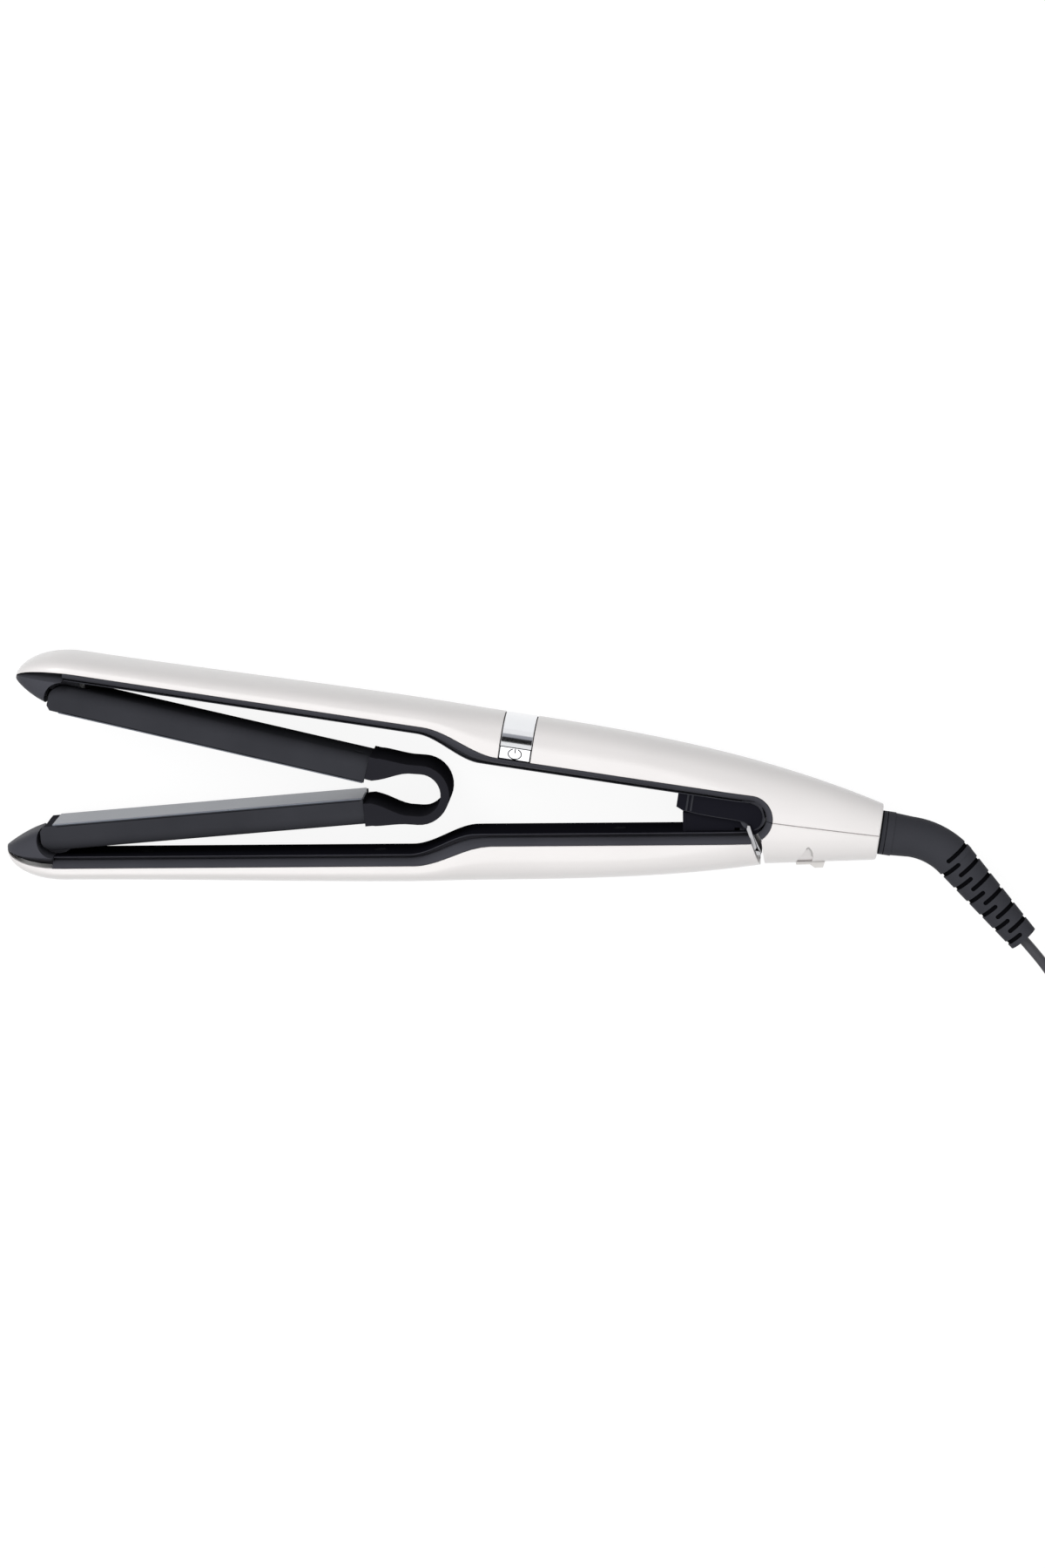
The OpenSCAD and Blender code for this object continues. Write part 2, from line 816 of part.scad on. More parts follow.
module lock_slider() {
    color(lock_grey) place() lock_frame() {
        span([-5.4, -0.9, -lock_half_w], [1.4, -0.15, lock_half_w]);
        linear_extrude(2 * lock_half_w, center = true)
            polygon([[0.4, -0.15], [1.6, -2], [3.6, -2], [4.2, -0.15]]);
        span([-2, -0.3, -lock_stem_z], [2.5, 4, lock_stem_z]);
        span([-4.6, lock_inner_y, -5], [2.2, 6, 5]);
        span([-14.5, lock_inner_y, -3], [-4, lock_inner_y + 1, 3]);
    }
}

// ---------------------------------------------------------------- plate carriers

module carrier_outline() {
    flat = carrier_w / 2 - carrier_bend;
    translate([lip_y, -carrier_w / 2]) square([carrier_y - carrier_bend - lip_y, carrier_w]);
    translate([lip_y, -flat]) square([carrier_y - lip_y, 2 * flat]);
    for (side = [-1, 1]) translate([carrier_y - carrier_bend, side * flat]) circle(carrier_bend);
}

module carrier_side() {
    polygon(concat(
        [[carrier_back_x, carrier_y], [carrier_back_x, lip_y], [carrier_front_x + carrier_chamfer[0], lip_y]],
        [[carrier_front_x, lip_y + carrier_chamfer[1]]],
        [for (a = [0 : 10 : 90]) [
            carrier_front_x + carrier_nose[0] * (1 - cos(a)),
            carrier_nose[1] + (carrier_y - carrier_nose[1]) * sin(a)
        ]]
    ));
}

module loop_screw_bores(gap) {
    for (z = loop_screw_z) {
        post(loop_screw_x, 3.5, 8, 1 + gap, z);
        post(loop_screw_x, carrier_y - 1, 3, 1.9 + gap, z);
    }
}

module carrier(bore_r) {
    difference() {
        intersection() {
            along_x(carrier_front_x, carrier_back_x - carrier_front_x) carrier_outline();
            linear_extrude(carrier_w + 2, center = true) carrier_side();
        }
        span(
            [plate_x - fit, 0, -plate_w / 2 - fit],
            [carrier_back_x + 1, plate_y + plate_t + 0.1, plate_w / 2 + fit]
        );
        span([pocket_x[0], 1, -pocket_z], [pocket_x[1], pocket_y, pocket_z]);
        span(
            [carrier_front_x - 1, 0, -lug_z - 0.4],
            [pivot_x + lug_r + lug_play, carrier_y + 1, lug_z + 0.4]
        );
        span(
            [loop_tongue_x - fit, loop_tongue_y[0] - fit, -loop_tongue_z - fit],
            [carrier_back_x + 1, loop_tongue_y[1] + fit, loop_tongue_z + fit]
        );
        translate([pivot_x, pivot_y, 0]) cylinder(h = 2 * pivot_pin_z + 0.4, r = bore_r, center = true);
        loop_screw_bores(0.05);
    }
}

module upper_carrier() {
    color(soft_black) place() carrier_pose() carrier(pivot_pin_r + 0.07);
}

module lower_carrier() {
    color(soft_black) place() lower_side() carrier_pose() carrier(pivot_pin_r + open_pivot_play);
}

module plate() {
    span([plate_x, plate_y, -plate_w / 2], [plate_x + plate_len, plate_y + plate_t, plate_w / 2]);
}

module heater() {
    span([heater_x[0], plate_y + plate_t + 0.05, -heater_z], [heater_x[1], heater_y, heater_z]);
}

module heater_clip() {
    outer = heater_z + clip_t + 0.2;
    span([clip_x[0], clip_y - clip_t, -outer], [clip_x[1], clip_y, outer]);
    for (low = [-outer, outer - clip_t])
        span([clip_x[0], 2, low], [clip_x[1], clip_y, low + clip_t]);
}

module thermistor() {
    translate([-151, 3, 0]) rotate([0, 90, 0]) cylinder(h = 6, r = 1);
}

module loop_screws() {
    for (z = loop_screw_z) {
        post(loop_screw_x, 4, carrier_y - 5, 1, z);
        post(loop_screw_x, carrier_y - 0.95, 0.85, 1.9, z);
    }
}

module upper_plate() {
    color(plate_grey) place() carrier_pose() plate();
}

module upper_heater() {
    color(ceramic) place() carrier_pose() heater();
}

module upper_heater_clip() {
    color(steel) place() carrier_pose() heater_clip();
}

module thermal_fuse() {
    color(steel) place() carrier_pose()
        translate([-200, 6.45, 0]) rotate([0, 90, 0]) cylinder(h = 9, r = 1.3);
}

module upper_thermistor() {
    color(ceramic) place() carrier_pose() thermistor();
}

module upper_loop_screws() {
    color(soft_black) place() carrier_pose() loop_screws();
}

module lower_plate() {
    color(plate_grey) place() lower_side() carrier_pose() plate();
}

module lower_heater() {
    color(ceramic) place() lower_side() carrier_pose() heater();
}

module lower_heater_clip() {
    color(steel) place() lower_side() carrier_pose() heater_clip();
}

module lower_thermistor() {
    color(ceramic) place() lower_side() carrier_pose() thermistor();
}

module lower_loop_screws() {
    color(soft_black) place() lower_side() carrier_pose() loop_screws();
}

function loop_outer_y(x) = loop_r[1] + 1.5 * past(x, [-115, -128]);
function loop_inner_y(x) = loop_r[0] - 3.1 * past(x, [-115.5, -128]);
function turned(p, a) = [p[0] * cos(a) - p[1] * sin(a), p[0] * sin(a) + p[1] * cos(a)];

// From a carrier's own place to the middle line between the open arms
function from_carrier(p) =
    let(pivot = [pivot_x, pivot_y])
    turned(pivot + turned(p - pivot, -carrier_tilt), -half_open);

function mirrored(list) = [for (p = list) [p[0], -p[1]]];

// One side of the loop's outline: end block, leg and half of the round end
function loop_side(block_y, r, leg) = concat(
    [for (x = [carrier_back_x + loop_gap, carrier_back_x + 2.5]) from_carrier([x, block_y])],
    [for (i = [0 : len(leg) - 1]) leg[i]],
    [for (a = [90 : -10 : 0]) [loop_x + r * cos(a), r * sin(a)]]
);

function whole_side(side) = concat(side, reversed(mirrored([for (i = [0 : len(side) - 2]) side[i]])));

module loop_profile() {
    leg_x = [-126 : 2 : loop_x - 1];
    outer = whole_side(loop_side(loop_block_y[1], loop_r[1], [for (x = leg_x) [x, loop_outer_y(x)]]));
    inner = whole_side(loop_side(loop_block_y[0], loop_r[0], [for (x = leg_x) [x, loop_inner_y(x)]]));
    polygon(concat(outer, reversed(inner)));
}

// Tongue of the loop that is screwed into a carrier
module loop_tongue() {
    span(
        [loop_tongue_x, loop_tongue_y[0], -loop_tongue_z],
        [carrier_back_x + 1.5, loop_tongue_y[1], loop_tongue_z]
    );
}

module flex_loop() {
    color(soft_black) place() difference() {
        union() {
            rotate([0, 0, half_open]) linear_extrude(loop_w, center = true) loop_profile();
            carrier_pose() loop_tongue();
            lower_side() carrier_pose() loop_tongue();
        }
        carrier_pose() loop_screw_bores(0.1);
        lower_side() carrier_pose() loop_screw_bores(0.1);
    }
}

// ---------------------------------------------------------------- cord

module elbow_tail() {
    translate([bend_x + elbow_r * sin(elbow_bend), -elbow_r * (1 - cos(elbow_bend)), 0])
        rotate([0, 0, -elbow_bend]) children();
}

// Slots that alternate from the outer and the inner side of the strain relief
module elbow_slots() {
    difference() {
        for (i = [0 : slot_count - 1], side = [1, -1]) {
            x = slot_start[side > 0 ? 0 : 1] + slot_pitch * i;
            y = slot_reach[side > 0 ? 0 : 1];
            translate([x, y, 0]) cylinder(h = 20, r = slot_w / 2, center = true);
            span([x - slot_w / 2, side > 0 ? y : -9, -10], [x + slot_w / 2, side > 0 ? 9 : y, 10]);
        }
        rotate([0, 90, 0]) cylinder(h = tail_len, r1 = tail_r[0] - slot_depth, r2 = tail_r[1] - slot_depth);
        translate([-8, 0, 0]) rotate([0, 90, 0]) cylinder(h = 8.5, r = tail_r[0] - slot_depth);
    }
}

module strain_relief() {
    color(graphite) place() difference() {
        union() {
            rotate([0, 90, 0]) {
                translate([0, 0, stem_rim[0] + 0.5]) cylinder(h = collar_x[0] - stem_rim[0], r = stem_r);
                translate([0, 0, stem_rim[0]]) cylinder(h = stem_rim[1] - stem_rim[0], r = stem_rim_r);
                translate([0, 0, collar_x[0]]) cylinder(h = collar_x[1] - collar_x[0], r = collar_r);
                translate([0, 0, collar_x[1]]) cylinder(h = bend_x - collar_x[1], r1 = neck_r, r2 = bend_r);
                translate([0, 0, bend_x - 2]) cylinder(h = 3, r = bend_r - 0.1);
            }
            translate([bend_x, -elbow_r, 0]) rotate([0, 0, 90 - elbow_bend])
                rotate_extrude(angle = elbow_bend) translate([elbow_r, 0]) circle(bend_r);
            elbow_tail() rotate([0, 90, 0]) {
                cylinder(h = tail_len, r1 = tail_r[0], r2 = tail_r[1]);
                translate([0, 0, -2]) cylinder(h = 4, r = tail_r[0] - 0.2);
            }
        }
        elbow_tail() elbow_slots();
    }
}

module on_table() {
    translate([origin_x, origin_y, 0]) children();
}

module cord_run() {
    color(graphite) on_table() sweep(run_route, cord_t, cord_w, 8);
}

module cord_tail() {
    color(graphite) on_table() sweep(tail_route, cord_t, cord_w, 8);
}

module cord_coil() {
    color(graphite) on_table() translate(coil_centre) rotate_extrude()
        translate([coil_edge[0], 0]) square([coil_edge[1] - coil_edge[0], coil_h]);
}

module cord_tie() {
    color(soft_black) on_table() translate(coil_centre) rotate([0, 0, 60]) difference() {
        span([coil_edge[0] - 0.8, -3, 0], [coil_edge[1] + 0.8, 3, coil_h + 0.8]);
        span([coil_edge[0], -4, 0.6], [coil_edge[1], 4, coil_h]);
    }
}

module plug_place() {
    on_table() translate([plug_base[0], plug_base[1], plug_t / 2]) rotate([0, 0, 90]) children();
}

module plug_body() {
    color(graphite) plug_place() linear_extrude(plug_t, center = true) polygon([
        [-4, 0], [4, 0], [5.5, 12], [13, 18], [17.5, 25], [17.5, 36],
        [-17.5, 36], [-17.5, 25], [-13, 18], [-5.5, 12]
    ]);
}

module plug_pins() {
    color(brass) plug_place() for (x = [-plug_pin_pitch / 2, plug_pin_pitch / 2])
        post(x, 36, plug_pin_len, plug_pin_r);
}

upper_shell();
upper_trim();
upper_tip_cap();
rear_lower_shell();
rear_trim();
upper_wire_shroud();
chrome_band();
display_window();
display_module();
circuit_board();
board_components();
tact_switches();
hinge_pin();
opening_spring();
upper_case_screws();
upper_pivot_pin();
swivel_socket();
upper_heater_leads();
mains_leads();
lower_shell();
lower_trim();
lower_tip_cap();
lower_wire_shroud();
lower_case_screws();
lower_pivot_pin();
lower_heater_leads();
upper_carrier();
upper_plate();
upper_heater();
upper_heater_clip();
thermal_fuse();
upper_thermistor();
flex_loop();
upper_loop_screws();
lower_carrier();
lower_plate();
lower_heater();
lower_heater_clip();
lower_thermistor();
lower_loop_screws();
power_button();
temp_up_button();
temp_down_button();
lock_slider();
strain_relief();
cord_run();
cord_coil();
cord_tail();
cord_tie();
plug_body();
plug_pins();
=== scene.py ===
"""Looks of a slim hair straightener that lies open on its side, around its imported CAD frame.

Shapes are worked out in millimetres in an arm's own place: X runs from the hinge pin towards the cord, Y from
the closing plane towards the arm's back, and Z along the pin from the middle of the body. A matrix then puts
each piece in metres in the row frame.
"""

import json
import math

import bmesh
import bpy
from mathutils import Matrix, Vector


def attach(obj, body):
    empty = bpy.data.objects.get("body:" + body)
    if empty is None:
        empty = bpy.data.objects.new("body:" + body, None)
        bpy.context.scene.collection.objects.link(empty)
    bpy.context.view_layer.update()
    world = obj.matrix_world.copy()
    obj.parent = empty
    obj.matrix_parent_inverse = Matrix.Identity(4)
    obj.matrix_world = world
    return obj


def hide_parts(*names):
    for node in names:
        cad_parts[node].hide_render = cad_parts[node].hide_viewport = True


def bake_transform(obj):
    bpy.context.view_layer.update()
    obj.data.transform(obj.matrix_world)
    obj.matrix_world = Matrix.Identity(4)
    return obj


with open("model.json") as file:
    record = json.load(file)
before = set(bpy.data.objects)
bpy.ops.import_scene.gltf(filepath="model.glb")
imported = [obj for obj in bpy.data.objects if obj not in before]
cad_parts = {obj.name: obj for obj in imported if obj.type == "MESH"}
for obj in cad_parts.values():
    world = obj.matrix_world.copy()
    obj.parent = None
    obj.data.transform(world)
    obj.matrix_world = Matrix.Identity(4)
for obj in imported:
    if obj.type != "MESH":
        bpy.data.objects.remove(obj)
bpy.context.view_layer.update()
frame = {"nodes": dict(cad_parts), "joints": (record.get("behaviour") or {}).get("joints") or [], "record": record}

MM = 0.001
JOINTS = {joint["name"]: joint for joint in frame["joints"]}
HINGE = Vector(JOINTS["arm_hinge"]["pos_m"])
OPEN_ANGLE = math.radians(JOINTS["arm_hinge"]["range_deg"][1])

# -------- driving dimensions, as in the source
ARM_W = 33.0
ARM_REACH = 252.5
BACK_Y = 21.5
SEAM_FRONT_Y = 14.6
SEAM_HANDLE_Y = 8.1
FACE_FRONT_Y = 11.4
FACE_HANDLE_Y = 4.7
WALL = 2.0
TRIM_T = 1.6
PIVOT_REACH = 234.7
LINK_LEN = 119.1
PIVOT_Y = 5.0
EAR_R = 4.3
BODY_END = 43.0
BAND_W = 10.8
BAND_X = -81.7
LOCK_TRAVEL = 4.0
CORD_T = 3.2
CORD_W = 5.2

# Nose, sides and back of the arms
NOSE_LEN = 20.488
NOSE_X = -ARM_REACH + NOSE_LEN
NOSE_POWER = 2.3
NOSE_BACK_Y = 20.0
TIP_BACK_Y = 9.1
TIP_SEAM_Y = 8.9
FLAT_SWELL = 0.45
SIDE_POWER = 2.5
END_POWER = 2.05
END_R = 9.6
LOWER_END_R = 9.4
TAPER_X = -10.0
TAPER_POWER = 1.6
LEVEL_X = (-40.0, 12.0)
BACK_FALL_X = -100.0
UNDER_FRONT = (6.6, 15.9)
UNDER_SLOPE = (UNDER_FRONT[1] - LOWER_END_R) / (BODY_END - UNDER_FRONT[0])
SEAM_STEP = (-113.5, -87.5)
FACE_STEP = (-115.5, -93.0)

# Round end of the trim, and the leaning end of the lower arm
ROUND_X = -1.3
ROUND_R = SEAM_HANDLE_Y
ROUND_IN_R = FACE_HANDLE_Y
LIP_IN = 5.5
LIP_FLOOR_Z = 10.4
INNER_WALL_R = 6.4
REAR_TRIM_ANGLE = 50.0
CORNER_R = 6.3
CORNER_X = (ROUND_X + 0.6, ROUND_X + 4.5)
CORNER_Y = (-1.5, -6.2)
CORNER_Z = 9.9
LEAN = 0.3226
LEAN_FROM_X = -20.0
END_REACH = 0.8
END_WALL_X = (ROUND_X - 1.2, ROUND_X + END_REACH - 0.15)
GAP_FOOT = (6.9, 17.0)
CAP_SEAM_X = NOSE_X - 3.61
CAP_LOW_Y = 2.3
CAP_RISE = 6.3
CAP_FROM_X = -238.5
CAP_RUN = 14.0
CAP_POWER = 1.5
MOUTH_R = 6.4
LUG_R = 6.2
LUG_LOW_Y = 2.6
LUG_Z = 4.5
KNUCKLE_Z = 7.2
EAR_Z = (7.6, 10.2)
EAR_ROOT_X = 2.0
KNUCKLE_ROOT_X = -2.5

# Controls
GROOVE_T = 0.5
BUTTON_ANGLE = 19.0
BUTTON_IN_Z = 12.6
BUTTON_GAP = 0.28
BAND_GAP = 0.16
BAND_END_ANGLE = 179.4
BAND_POINTS = 60
BED_DEPTH = (0.34, 0.49)
BED_REACH = 0.14
PATCH_EDGE = 0.14
PATCH_EASE = (0.16, 0.02)
FRAME_T = 0.2
MARK_Y = 10.35
MARK_R = (2.2, 1.7)
MARK_T = 0.18
MARK_OPEN = 24
SCREW_X = (-205.0, -126.0, -29.0)
LOWER_SCREW_X = (-205.0, -126.0, -45.0)
SCREW_HEAD = (2.3, 1.35)
WINDOW_X = -63.0
WINDOW_SIZE = (18.2, 10.2)
TEMP_X = (-46.0, -37.0)
TEMP_R = 2.6
LOCK_X = 22.0

# Lock slider and the finger dish beside it, in the slider's own place, with Y into the shell
LOCK_OPENING = ((-2.2 - LOCK_TRAVEL, -2, -2.8), (2.7, 4, 2.8))
LOCK_STEM = ((-2, -0.3, -2.5), (2.5, 4.2, 2.5))
LOCK_PAD = ((-4.6, 3.2, -5), (2.2, 5.7, 5))
LOCK_TONGUE = ((-14.5, 3.2, -3), (-4, 4.2, 3))
DISH = [(-5.3, 0.9), (-5.1, 1.1), (-1.7, 6.2), (-1.2, 6.8), (-0.6, 6.7), (0.1, 5.7), (0.5, 4.5),
        (0.5, 2.8), (0.1, 0.9)]
DISH_WALL = 0.68
DISH_DROP = 1.4
LOCK_HALF_W = 4.4
LOCK_STRIPS = 6
SLIDER_IN_Y = -0.06
SLIDER = [(-5.4, SLIDER_IN_Y), (-5.2, -0.45), (-0.7, -0.45), (1.0, -1.65), (3.7, -1.65), (4.4, SLIDER_IN_Y)]

# In the arm's own place: slot for the tongue, and the dish's sections and how deep they lie
TONGUE_SLOT = ((-8, 11.8, -3.4), (10, 14.3, 3.4))
DISH_SECTIONS = range(13, 26)
DISH_DEPTH = (0.25, 1.3)
DISH_FADE = 2.5

# Shrouds of the wires beside the hinge
SHROUD_CUT = (-26.8, -4.0, 12.0)
LOWER_SHROUD = (((-23.4, -1.7, -8.4), (-22.1, 4.9, 8.4)), ((-6.1, -0.55, -8.4), (-2.6, 3.6, 8.4)))
SHROUD_Z = 10.7
RIB_Y = (-0.8, FACE_HANDLE_Y)
RIB_X = ((-22.7, -22.0), (-21.2, -20.5))
RIB_T = 0.25
RIM_W = 0.25
RIM_T = 0.1
SHROUD_EDGE = ((-25.4, -0.15), (-23.4, -1.0), (-22.6, -1.05), (-18.0, -1.46), (-12.2, -1.63), (-8.0, -1.62),
               (-4.5, -1.74), (-2.6, -1.95), (-1.3, -2.5))

# Leaf spring: its two arms, the bar between them and the bent foot
LEAF_Z = (10.8, 13.0)
LEAF_FOOT_Z = (-8.5, 12.5)
LEAF = [(-1.3, -2.35), (-1.45, -3.7), (0.12, -6.6), (0.95, -8.2), (1.62, -9.5), (2.4, -10.45), (2.8, -9.3),
        (1.4, -6.4), (-0.5, -2.4)]
LEAF_BAR = [(0.1, -5.2), (4.1, -11.3), (4.9, -11.3), (0.9, -5.2)]
LEAF_FOOT = [(2.39, -10.5), (4.12, -10.55), (4.68, -11.7), (3.19, -12.0)]

# Strain relief
BEND_X = 53.7
ELBOW_R = 25.0
ELBOW_BEND = math.radians(40.6)
TAIL_LEN = 34.7
TAIL_R = (6.7, 5.1)
SLOT_DEPTH = 0.4
CORE_X = (-3.0, TAIL_LEN - 0.4)
COLLAR_R = 7.4
COLLAR_LINES = (43.35, 44.9)

# Rounding of the moulded edges
EDGE_R = 0.32
SEAM_GAP = 0.05
REAR_SEAM = 0.09
LIP_SHARE = 0.62
GROOVE_FLOOR = 2.4

# Floor and sky, with their sizes in metres
FLOOR_SIZE = 6.0
FLOOR_TONE = 0.16
FLOOR_GLOW = 0.9
SKY = (0.68, 0.74)

# Cards: two angles from the vertical and the brightness of each. Lights: place, size and power of each
CARDS = ((34.5, 54.5, 0.01), (54.5, 69.0, 0.4))
CARD_AWAY = 5.0
CARD_HALF = 1.2
LIGHT_AIM = (-80, 0, 0)
KEY = ((-120, -420, 1500), 1.8, 6.0)
FILL = ((-900, 700, 1200), 0.8, 7.2)

# Plates and loop
PLATE_SHARE = 0.98
CARRIER_W = 25.0
CARRIER_LIP_Y = 0.65
CARRIER_GROOVE = (0.18, 0.42, 0.5)
CARRIER_GROOVE_X = (-233.9, -131.0)

# Cord
LEAD_R = CORD_T / 2
LEAD_APART = (CORD_W - CORD_T) / 2
COIL_CENTRE = (165.0, -61.0)
COIL_R = (42.0, 30.0)
COIL_FROM = 195.0
COIL_TO = 8 * 360.0
CLIMB_FROM = 0.47
CLIMB_SHARE = 0.06
LEAD_GAP = 0.05
RUN_ROUTE = [
    (96.3, -28.9, 16.5), (100.8, -32.8, 16.4), (105.2, -37.0, 15.7), (109.2, -41.6, 14.2),
    (112.9, -46.6, 11.9), (116.3, -52.0, 8.9), (119.4, -57.9, 5.9), (122.1, -64.6, 3.5),
    (124.4, -71.9, 2.7),
]
TAIL_ROUTE = [
    (207.0, -61.0, 7.8), (207.0, -53.0, 7.8), (207.0, -45.0, 7.5), (207.0, -37.0, 6.5),
    (207.0, -29.0, 5.1), (207.0, -22.0, 3.9), (205.2, -12.8, 3.0), (200.0, -5.0, 3.2),
    (192.2, 0.2, 4.7), (183.0, 2.0, 6.4), (177.0, 2.0, 6.85),
]

# -------- places
PIVOT = Vector((-math.sqrt(PIVOT_REACH ** 2 - PIVOT_Y ** 2), PIVOT_Y, 0))
HALF_OPEN = OPEN_ANGLE / 2
CARRIER_TILT = (math.asin(PIVOT_REACH * math.sin(math.asin(PIVOT_Y / PIVOT_REACH) + HALF_OPEN) / LINK_LEN)
                - math.asin(PIVOT_Y / LINK_LEN) - HALF_OPEN)
UPPER = Matrix.Translation(HINGE) @ Matrix.Scale(MM, 4)
MIRROR = Matrix.Diagonal((1, -1, 1, 1))
LOWER = UPPER @ Matrix.Rotation(OPEN_ANGLE, 4, "Z") @ MIRROR
UNDER = UPPER @ MIRROR
TILTED = Matrix.Translation(PIVOT) @ Matrix.Rotation(-CARRIER_TILT, 4, "Z") @ Matrix.Translation(-PIVOT)


def at(x, y, z=0.0):
    """A place measured from the hinge pin, in the row frame."""
    return UPPER @ Vector((x, y, z))


def on_table(x, y, z):
    """A place whose height is measured from the resting surface."""
    return Vector((HINGE.x + x * MM, HINGE.y + y * MM, z * MM))


# -------- camera
CAMERA_AT = (-21.4, 306.8, 1900.0)
CAMERA_AIM = (-78.2, -1.9, 0.0)
CAMERA_ROLL = math.radians(8.64)
CAMERA_FOV = math.radians(15.62)


def add_camera():
    camera = bpy.data.objects.new("camera", bpy.data.cameras.new("camera"))
    bpy.context.scene.collection.objects.link(camera)
    place, aim = at(*CAMERA_AT), at(*CAMERA_AIM)
    back = (place - aim).normalized()
    right = Vector((math.cos(CAMERA_ROLL), math.sin(CAMERA_ROLL), 0))
    right = (right - back * right.dot(back)).normalized()
    up = back.cross(right)
    camera.matrix_world = Matrix.Translation(place) @ Matrix((right, up, back)).transposed().to_4x4()
    camera.data.sensor_fit = "VERTICAL"
    camera.data.angle_y = CAMERA_FOV
    camera.data.clip_end = 20
    bpy.context.scene.camera = camera


# -------- materials
def new_material(name):
    material = bpy.data.materials.new(name)
    material.use_nodes = True
    nodes = material.node_tree.nodes
    return material, nodes, material.node_tree.links, nodes["Principled BSDF"]


def noise(nodes, links, scale, detail, space):
    texture = nodes.new("ShaderNodeTexNoise")
    texture.inputs["Scale"].default_value = scale
    texture.inputs["Detail"].default_value = detail
    links.new(space.outputs["Object"], texture.inputs["Vector"])
    return texture


DRIFT_SCALE = 35.0
GRAIN_SCALE = 900.0
WEAR = 0.12


def surface(name, colour, roughness, metallic=0.0, coat=0.0, tint=0.06, bump=0.02, specular=0.5):
    """A moulded or metal finish: faint drift of colour, uneven roughness and a fine grain."""
    material, nodes, links, shader = new_material(name)
    space = nodes.new("ShaderNodeTexCoord")
    drift = noise(nodes, links, DRIFT_SCALE, 3.0, space)
    ramp = nodes.new("ShaderNodeValToRGB")
    ramp.color_ramp.elements[0].position = 0.3
    ramp.color_ramp.elements[1].position = 0.7
    ramp.color_ramp.elements[0].color = [c * (1 - tint) for c in colour] + [1]
    ramp.color_ramp.elements[1].color = [min(1.0, c * (1 + tint)) for c in colour] + [1]
    links.new(drift.outputs["Fac"], ramp.inputs["Fac"])
    links.new(ramp.outputs["Color"], shader.inputs["Base Color"])
    fine = noise(nodes, links, GRAIN_SCALE, 2.0, space)
    wear = nodes.new("ShaderNodeMapRange")
    wear.inputs["To Min"].default_value = roughness * (1 - WEAR)
    wear.inputs["To Max"].default_value = roughness * (1 + WEAR)
    links.new(drift.outputs["Fac"], wear.inputs["Value"])
    links.new(wear.outputs["Result"], shader.inputs["Roughness"])
    relief = nodes.new("ShaderNodeBump")
    relief.inputs["Strength"].default_value = bump
    relief.inputs["Distance"].default_value = 0.0002
    links.new(fine.outputs["Fac"], relief.inputs["Height"])
    links.new(relief.outputs["Normal"], shader.inputs["Normal"])
    shader.inputs["Metallic"].default_value = metallic
    shader.inputs["Coat Weight"].default_value = coat
    shader.inputs["Coat Roughness"].default_value = 0.12
    shader.inputs["Specular IOR Level"].default_value = specular
    return material


# Colour, roughness and what else differs from a plain satin surface
LOOKS = {
    "pearl_shell": ((0.83, 0.803, 0.795), 0.3, {"coat": 0.4, "tint": 0.015}),
    "dark_trim": ((0.064, 0.065, 0.077), 0.45, {"bump": 0.06, "tint": 0.1, "specular": 0.03}),
    "black_plastic": ((0.012, 0.012, 0.017), 0.5, {"bump": 0.08, "specular": 0.0}),
    "carrier_plastic": ((0.04, 0.041, 0.048), 0.5, {"bump": 0.08, "tint": 0.1, "specular": 0.0}),
    "chrome": ((0.78, 0.79, 0.81), 0.12, {"metallic": 1.0, "tint": 0.02, "bump": 0.005}),
    "window": ((0.012, 0.012, 0.016), 0.08, {"coat": 0.5, "bump": 0.0}),
    "display": ((0.62, 0.60, 0.54), 0.5, {}),
    "circuit_board": ((0.02, 0.12, 0.06), 0.4, {"tint": 0.2}),
    "steel": ((0.58, 0.59, 0.61), 0.28, {"metallic": 1.0}),
    "black_steel": ((0.025, 0.026, 0.03), 0.5, {"specular": 0.0}),
    "loop_plastic": ((0.021, 0.021, 0.026), 0.5, {"bump": 0.08, "specular": 0.0}),
    "relief_rubber": ((0.044, 0.045, 0.053), 0.55, {"bump": 0.08, "tint": 0.1, "specular": 0.03}),
    # painted shadow: a darker grey for the finger dish's wall, standing in for the shade along the dish's rim
    "dish_rim_painted_shadow": ((0.5, 0.49, 0.48), 0.4, {}),
    # near-black as painted shadow in recesses (the band's bed, the frame round the button, the strain relief's
    # core and collar lines), and as the power symbol's print
    "recess_shadow_and_print_black": ((0.004, 0.004, 0.005), 0.7, {"bump": 0.02, "specular": 0.0}),
    "spring_steel": ((0.34, 0.34, 0.35), 0.35, {"metallic": 1.0}),
    "wire": ((0.42, 0.025, 0.02), 0.5, {}),
    "plate": ((0.17, 0.185, 0.22), 0.34, {"metallic": 0.55, "tint": 0.05}),
    "heater": ((0.72, 0.69, 0.6), 0.7, {"bump": 0.15}),
    "lock_plastic": ((0.68, 0.66, 0.64), 0.35, {"tint": 0.02}),
    "cord": ((0.06, 0.06, 0.068), 0.5, {"bump": 0.1, "specular": 0.2}),
    "brass": ((0.68, 0.64, 0.55), 0.25, {"metallic": 1.0}),
}
FINISH = {name: surface(name, colour, roughness, **more)
          for name, (colour, roughness, more) in LOOKS.items()}


def paint(obj, finish):
    obj.data.materials.clear()
    obj.data.materials.append(finish)


for part in frame["record"]["subparts"]:
    paint(frame["nodes"][part["node"]], FINISH[part["material_slot"]])
paint(frame["nodes"]["strain_relief"], FINISH["relief_rubber"])


